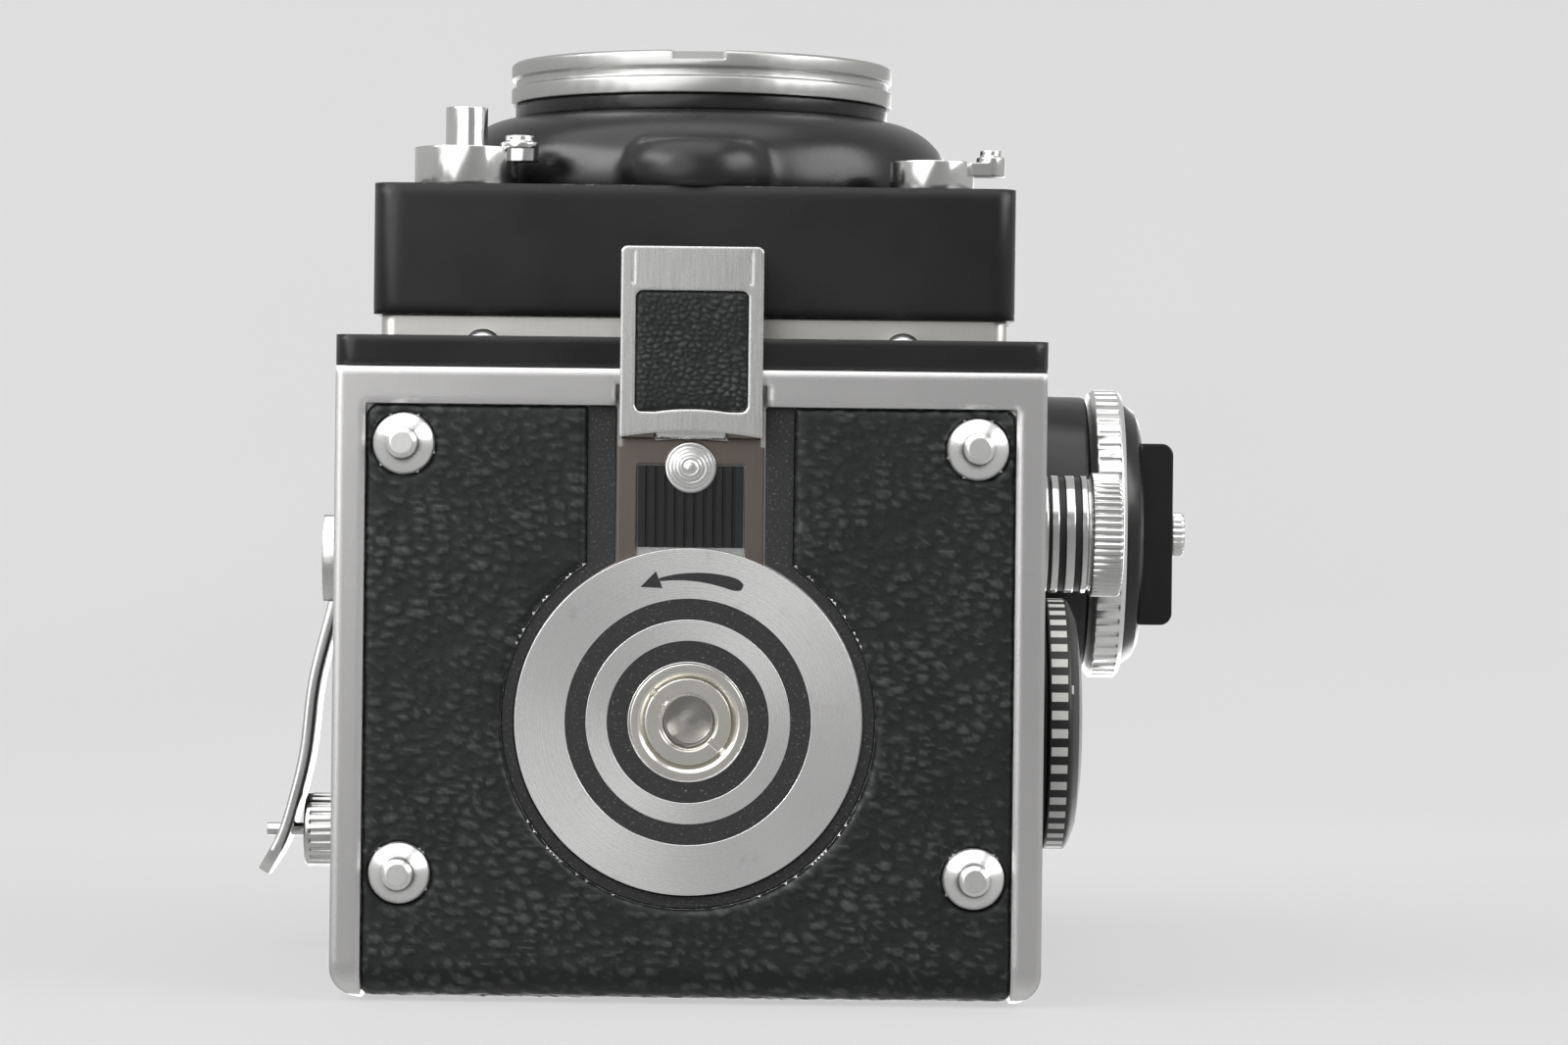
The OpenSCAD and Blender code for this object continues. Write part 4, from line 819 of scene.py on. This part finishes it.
def crank_strap():
    """The crank's arm: a bent strap narrowing toward its end, on a rolled knuckle."""
    low, high = box_mm("crank_arm")
    z_mid = (low[2] + high[2]) / 2
    half_width, thick = (high[2] - low[2]) / 2, 1.5
    knots = np.array([(-43.6, -17.0), (-44.9, -10.9), (-47.1, -1.8), (-48.05, 6.7), (-49.4, 12.7),
                      (-50.9, 17.5), (-53.2, 21.6)])
    path = []
    padded = np.vstack([2 * knots[0] - knots[1], knots, 2 * knots[-1] - knots[-2]])
    for i in range(1, len(padded) - 2):
        p0, p1, p2, p3 = padded[i - 1:i + 3]
        for t in np.linspace(0, 1, 7)[:-1]:
            path.append(0.5 * (2 * p1 + (p2 - p0) * t + (2 * p0 - 5 * p1 + 4 * p2 - p3) * t ** 2
                               + (3 * p1 - p0 - 3 * p2 + p3) * t ** 3))
    path.append(knots[-1])
    path = np.array(path)
    tangent = np.gradient(path, axis=0)
    tangent /= np.linalg.norm(tangent, axis=1)[:, None]
    normal = np.stack([tangent[:, 1], -tangent[:, 0]], 1)
    section = round_corners([(-half_width, -thick / 2), (half_width, -thick / 2),
                             (half_width, thick / 2), (-half_width, thick / 2)], 0.45, 4, closed=True)
    points, faces = [], []
    count = len(section)
    for i, p in enumerate(path):
        t = i / (len(path) - 1)
        end = max(0.0, (t - 0.9) / 0.1)
        width = (1.0 + 0.06 * math.sin(t * 3.0)) * math.sqrt(max(1 - end ** 2 * 0.75, 0.0))
        width *= min(1.0, 0.92 + 0.4 * t)
        for across, out in section:
            q = p + normal[i] * out
            points.append((q[0], q[1], z_mid + across * width / 1.06))
    for i in range(len(path) - 1):
        for k in range(count):
            n = (k + 1) % count
            faces.append((i * count + k, i * count + n, (i + 1) * count + n, (i + 1) * count + k))
    faces.append(tuple(range(count))[::-1])
    faces.append(tuple((len(path) - 1) * count + k for k in range(count)))
    strap = outward(make_piece("crank_strap", points, faces, "crank_arm", ["bright"],
                               slot="satin_metal"))
    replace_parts(strap, "crank_arm")
    loop = round_corners([(0, -half_width), (1.55, -half_width), (1.55, half_width),
                          (0, half_width)], 0.25)
    turned("crank_knuckle", loop, (-43.5, -17.0, z_mid), (0, 0, 1), "crank_arm", ["arm"],
           segments=48, slot="satin_metal")


def push_button():
    """Stepped push button at the front of the latch slide's window."""
    outline = [(0, 1.0), (2.72, 1.0), (2.78, 0.5), (2.74, 0.36), (2.55, 0.30), (2.40, 0.33),
               (2.34, 0.10), (2.12, 0.03), (2.02, 0.06), (1.95, -0.36), (1.72, -0.44),
               (1.62, -0.41), (1.52, -0.56), (1.30, -0.62), (1.20, -0.60), (1.10, -0.74),
               (0.86, -0.78), (0.78, -0.75), (0.62, -0.86), (0.3, -0.93), (0, -0.95)]
    turned("latch_button", [(r, -z) for r, z in outline], (0, BUTTON_Y, 0), (0, 0, -1), "latch_slide",
           ["button"], segments=96, slot="brushed_slide")


def shoe_screw():
    """Knurled clamp screw in the closed end of the accessory shoe."""
    def knurl(angle, radius, along):
        return 0.14 * np.cos(angle * 22) * (radius > 2.5)

    outline = [(0, 59.5), (2.5, 59.5), (2.65, 59.7), (2.65, 60.9), (2.4, 61.2), (1.2, 61.25),
               (0, 61.25)]
    turned("shoe_screw", outline, (0, -21.0, 85.2), (1, 0, 0), "body", ["knob"], segments=132,
           ripple=knurl, slot="satin_metal")


def lens_element(name, z, radius, edge, back, sag):
    """A lens element: its front is a shallow dome, its edge stands at y = -edge."""
    curve = (radius ** 2 + sag ** 2) / (2 * sag)
    outline = [(r, edge + sag - curve + math.sqrt(curve ** 2 - r ** 2))
               for r in np.linspace(0, radius, 14)]
    return turned(name, outline + [(radius, back), (0, back)], (0, 0, z), (0, -1, 0),
                  "front_standard", ["coated"], segments=96, slot="lens_glass")


push_button()
shoe_screw()
lens_element("taking_lens_rear", TAKING_Z, 11.9, 56.3, 53.8, 0.8)
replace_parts(lens_element("taking_lens_front", TAKING_Z, 17.0, 67.2, 63.8, 1.4), "taking_glass")
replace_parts(lens_element("viewing_lens_front", VIEWING_Z, 14.0, 64.4, 60.0, 1.5), "viewing_glass")
disc_details()
socket_details()
lens_housing()
film_dial()
spool_knob()
crank_strap()

# CAD nodes that keep their shape
for node, material, bevel in (
        ("body_shell", "enamel", 0.25), ("front_plate", "plate", 0.9), ("film_gate", "enamel", 0.15),
        ("name_plate", "strip", 0.15), ("strap_lugs", "bright", 0.2), ("front_screws", "bright", 0.0),
        ("back_cover", "cover", 0.9), ("latch_channel", "crackle", 0.15), ("feet", "knob", 0.12),
        ("pressure_plate", "enamel", 0.15), ("lock_disc", "disc", 0.12),
        ("tripod_socket", "nickel", 0.1), ("socket_adapter", "nickel", 0.1),
        ("latch_slide", "slide", 0.15), ("latch_grip", "grip", 0.05), ("latch_arm", "arm", 0.3),
        ("standard_frame", "strip", 0.2), ("lens_board", "housing", 0.9),
        ("taking_barrel", "enamel", 0.15),
        ("taking_bayonet", "ring", 0.15), ("viewing_barrel", "enamel", 0.15),
        ("viewing_bayonet", "ring", 0.15), ("shutter_housing", "enamel", 0.2),
        ("shutter_blades", "slide", 0.0), ("release_button", "bright", 0.2),
        ("release_guard", "bright", 0.2), ("sync_lever", "bright", 0.2),
        ("aperture_wheel", "arm", 0.15), ("shutter_wheel", "arm", 0.15),
        ("focus_drum", "enamel", 0.3), ("focus_knob", "knob", 0.2), ("accessory_shoe", "enamel", 0.25),
        ("knob_sleeve", "arm", 0.1), ("spool_pin", "arm", 0.1),
        ("feed_spool", "moulded", 0.2), ("takeup_spool", "moulded", 0.2), ("spool_gear", "brass", 0.05),
        ("crank_escutcheon", "enamel", 0.2), ("crank_hub", "arm", 0.2), ("idler_gear", "brass", 0.05),
        ("crank_handle", "bright", 0.1), ("film_roller", "bright", 0.2),
        ("hood_base", "enamel", 0.3), ("hood_lid", "enamel", 0.6), ("hood_flap_left", "enamel", 0.15),
        ("hood_flap_right", "enamel", 0.15), ("hood_flap_rear", "enamel", 0.15),
        ("magnifier_frame", "enamel", 0.25), ("magnifier_lens", "clear", 0.0),
        ("reflex_mirror", "mirror", 0.1), ("focusing_screen", "screen", 0.2)):
    machined(node, material, bevel)

# ---------------------------------------------------------------- stage, lights and camera


def stage_sheet(name, rows, columns):
    """A strip of quads; rows are lists of points in millimetres."""
    points = [p for row in rows for p in row]
    faces = [(i * columns + k, i * columns + k + 1, (i + 1) * columns + k + 1, (i + 1) * columns + k)
             for i in range(len(rows) - 1) for k in range(columns - 1)]
    mesh = bpy.data.meshes.new(name)
    mesh.from_pydata((np.array(points) * MM).tolist(), [], faces)
    mesh.shade_smooth()
    piece = bpy.data.objects.new(name, mesh)
    bpy.context.scene.collection.objects.link(piece)
    return piece


def seen_from(shader, sign, least):
    """Shows the sheet only to camera rays that come from below (sign -1) or above (sign 1).
    least is the sine of the smallest angle at which it shows."""
    geometry = shader.add("ShaderNodeNewGeometry")
    split = shader.add("ShaderNodeSeparateXYZ", {"Vector": geometry.outputs["Incoming"]})
    facing = shader.maths("GREATER_THAN", shader.maths("MULTIPLY", split.outputs["Z"], sign), least)
    camera = shader.add("ShaderNodeLightPath").outputs["Is Camera Ray"]
    shown = shader.maths("MULTIPLY", facing, camera)
    clear = shader.add("ShaderNodeBsdfTransparent")
    mixed = shader.add("ShaderNodeMixShader", {0: shown})
    shader.tree.links.new(clear.outputs[0], mixed.inputs[1])
    shader.tree.links.new(shader.bsdf.outputs[0], mixed.inputs[2])
    shader.tree.links.new(mixed.outputs[0], shader.out.inputs["Surface"])
    return shader.material


def build_stage():
    """Two floors: one behind the back, for the view of the base, and one under the feet."""
    back_y = BACK_Y + 0.25
    wide, near, far, bend = 1500.0, -600.0, 720.0, 420.0
    profile = [(back_y, z) for z in np.linspace(near, far - bend, 6)]
    profile += [(back_y - bend + bend * math.cos(a), far - bend + bend * math.sin(a))
                for a in np.linspace(0.1, math.pi / 2, 10)]
    profile += [(back_y - 1600.0, far)]
    rows = [[(x, y, z) for x in (-wide, 0.0, wide)] for y, z in profile]
    sweep = stage_sheet("backdrop", rows, 3)
    sweep.data.materials.append(seen_from(cloth("backdrop_cloth"), -1.0, 0.7))
    floor_z = box_mm("feet")[0][2] - 0.02
    rows = [[(x, y, floor_z) for x in (-wide, 0.0, wide)] for y in (wide, 0.0, -wide)]
    floor = stage_sheet("floor", rows, 3)
    floor.data.materials.append(seen_from(cloth("floor_cloth"), 1.0, 0.0))


def area_light(name, place_mm, aim_mm, size_mm, watts, colour=(1, 1, 1)):
    data = bpy.data.lights.new(name, "AREA")
    data.shape = "RECTANGLE"
    data.size, data.size_y = size_mm[0] * MM, size_mm[1] * MM
    data.energy = watts
    data.color = colour
    light = bpy.data.objects.new(name, data)
    place, aim = Vector(place_mm) * MM, Vector(aim_mm) * MM
    light.matrix_world = (Matrix.Translation(place)
                          @ (aim - place).to_track_quat("-Z", "Y").to_matrix().to_4x4())
    bpy.context.scene.collection.objects.link(light)


def build_world():
    """Pale soft light from all round, greyer from the side that the base faces."""
    world = bpy.data.worlds.new("studio")
    bpy.context.scene.world = world
    world.use_nodes = True
    tree = world.node_tree
    background = tree.nodes["Background"]
    place = tree.nodes.new("ShaderNodeTexCoord")
    split = tree.nodes.new("ShaderNodeSeparateXYZ")
    tree.links.new(place.outputs["Generated"], split.inputs[0])
    ramp = tree.nodes.new("ShaderNodeMapRange")
    ramp.inputs["From Min"].default_value = -1.0
    ramp.inputs["From Max"].default_value = -0.1
    ramp.inputs["To Min"].default_value = 0.37
    ramp.inputs["To Max"].default_value = 0.56
    tree.links.new(split.outputs["Z"], ramp.inputs["Value"])
    lit = tree.nodes.new("ShaderNodeCombineColor")
    for channel in lit.inputs:
        tree.links.new(ramp.outputs[0], channel)
    seen = tree.nodes.new("ShaderNodeMix")
    seen.data_type = "RGBA"
    path = tree.nodes.new("ShaderNodeLightPath")
    tree.links.new(path.outputs["Is Camera Ray"], seen.inputs[0])
    tree.links.new(lit.outputs[0], seen.inputs[6])
    seen.inputs[7].default_value = (0.715, 0.713, 0.716, 1)
    tree.links.new(seen.outputs[2], background.inputs["Color"])
    background.inputs["Strength"].default_value = 1.0


def build_lights():
    area_light("overhead", (-312, -1596, -480), (0, -10, 40), (2340, 1820), 23.0)
    area_light("from_viewer", (-330, -260, -560), (0, -10, 0), (600, 600), 2.0)
    area_light("window", (-1554, -1086, -747), (0, -50, 30), (518, 1554), 17.8)
    area_light("right_glow", (1591, -975, -673), (0, -50, 30), (888, 1480), 21.9)
    area_light("top", (60, 160, 720), (0, 0, 60), (600, 600), 3.2)


def build_camera():
    """Below the base, looking up: the base fills the frame, with the lenses at the top of it."""
    data = bpy.data.cameras.new("camera")
    data.lens = 109.0
    data.sensor_width = 36.0
    data.clip_start, data.clip_end = 0.02, 20.0
    camera = bpy.data.objects.new("camera", data)
    roll = math.radians(0.65)
    look_up = Matrix(((1, 0, 0), (0, -1, 0), (0, 0, -1))).to_4x4()
    place = Matrix.Translation(Vector((10.29, -21.97, -520.0)) * MM)
    camera.matrix_world = place @ look_up @ Matrix.Rotation(roll, 4, "Z")
    bpy.context.scene.collection.objects.link(camera)
    bpy.context.scene.camera = camera


build_stage()
build_world()
build_lights()
build_camera()
bpy.context.scene.view_settings.view_transform = "Standard"
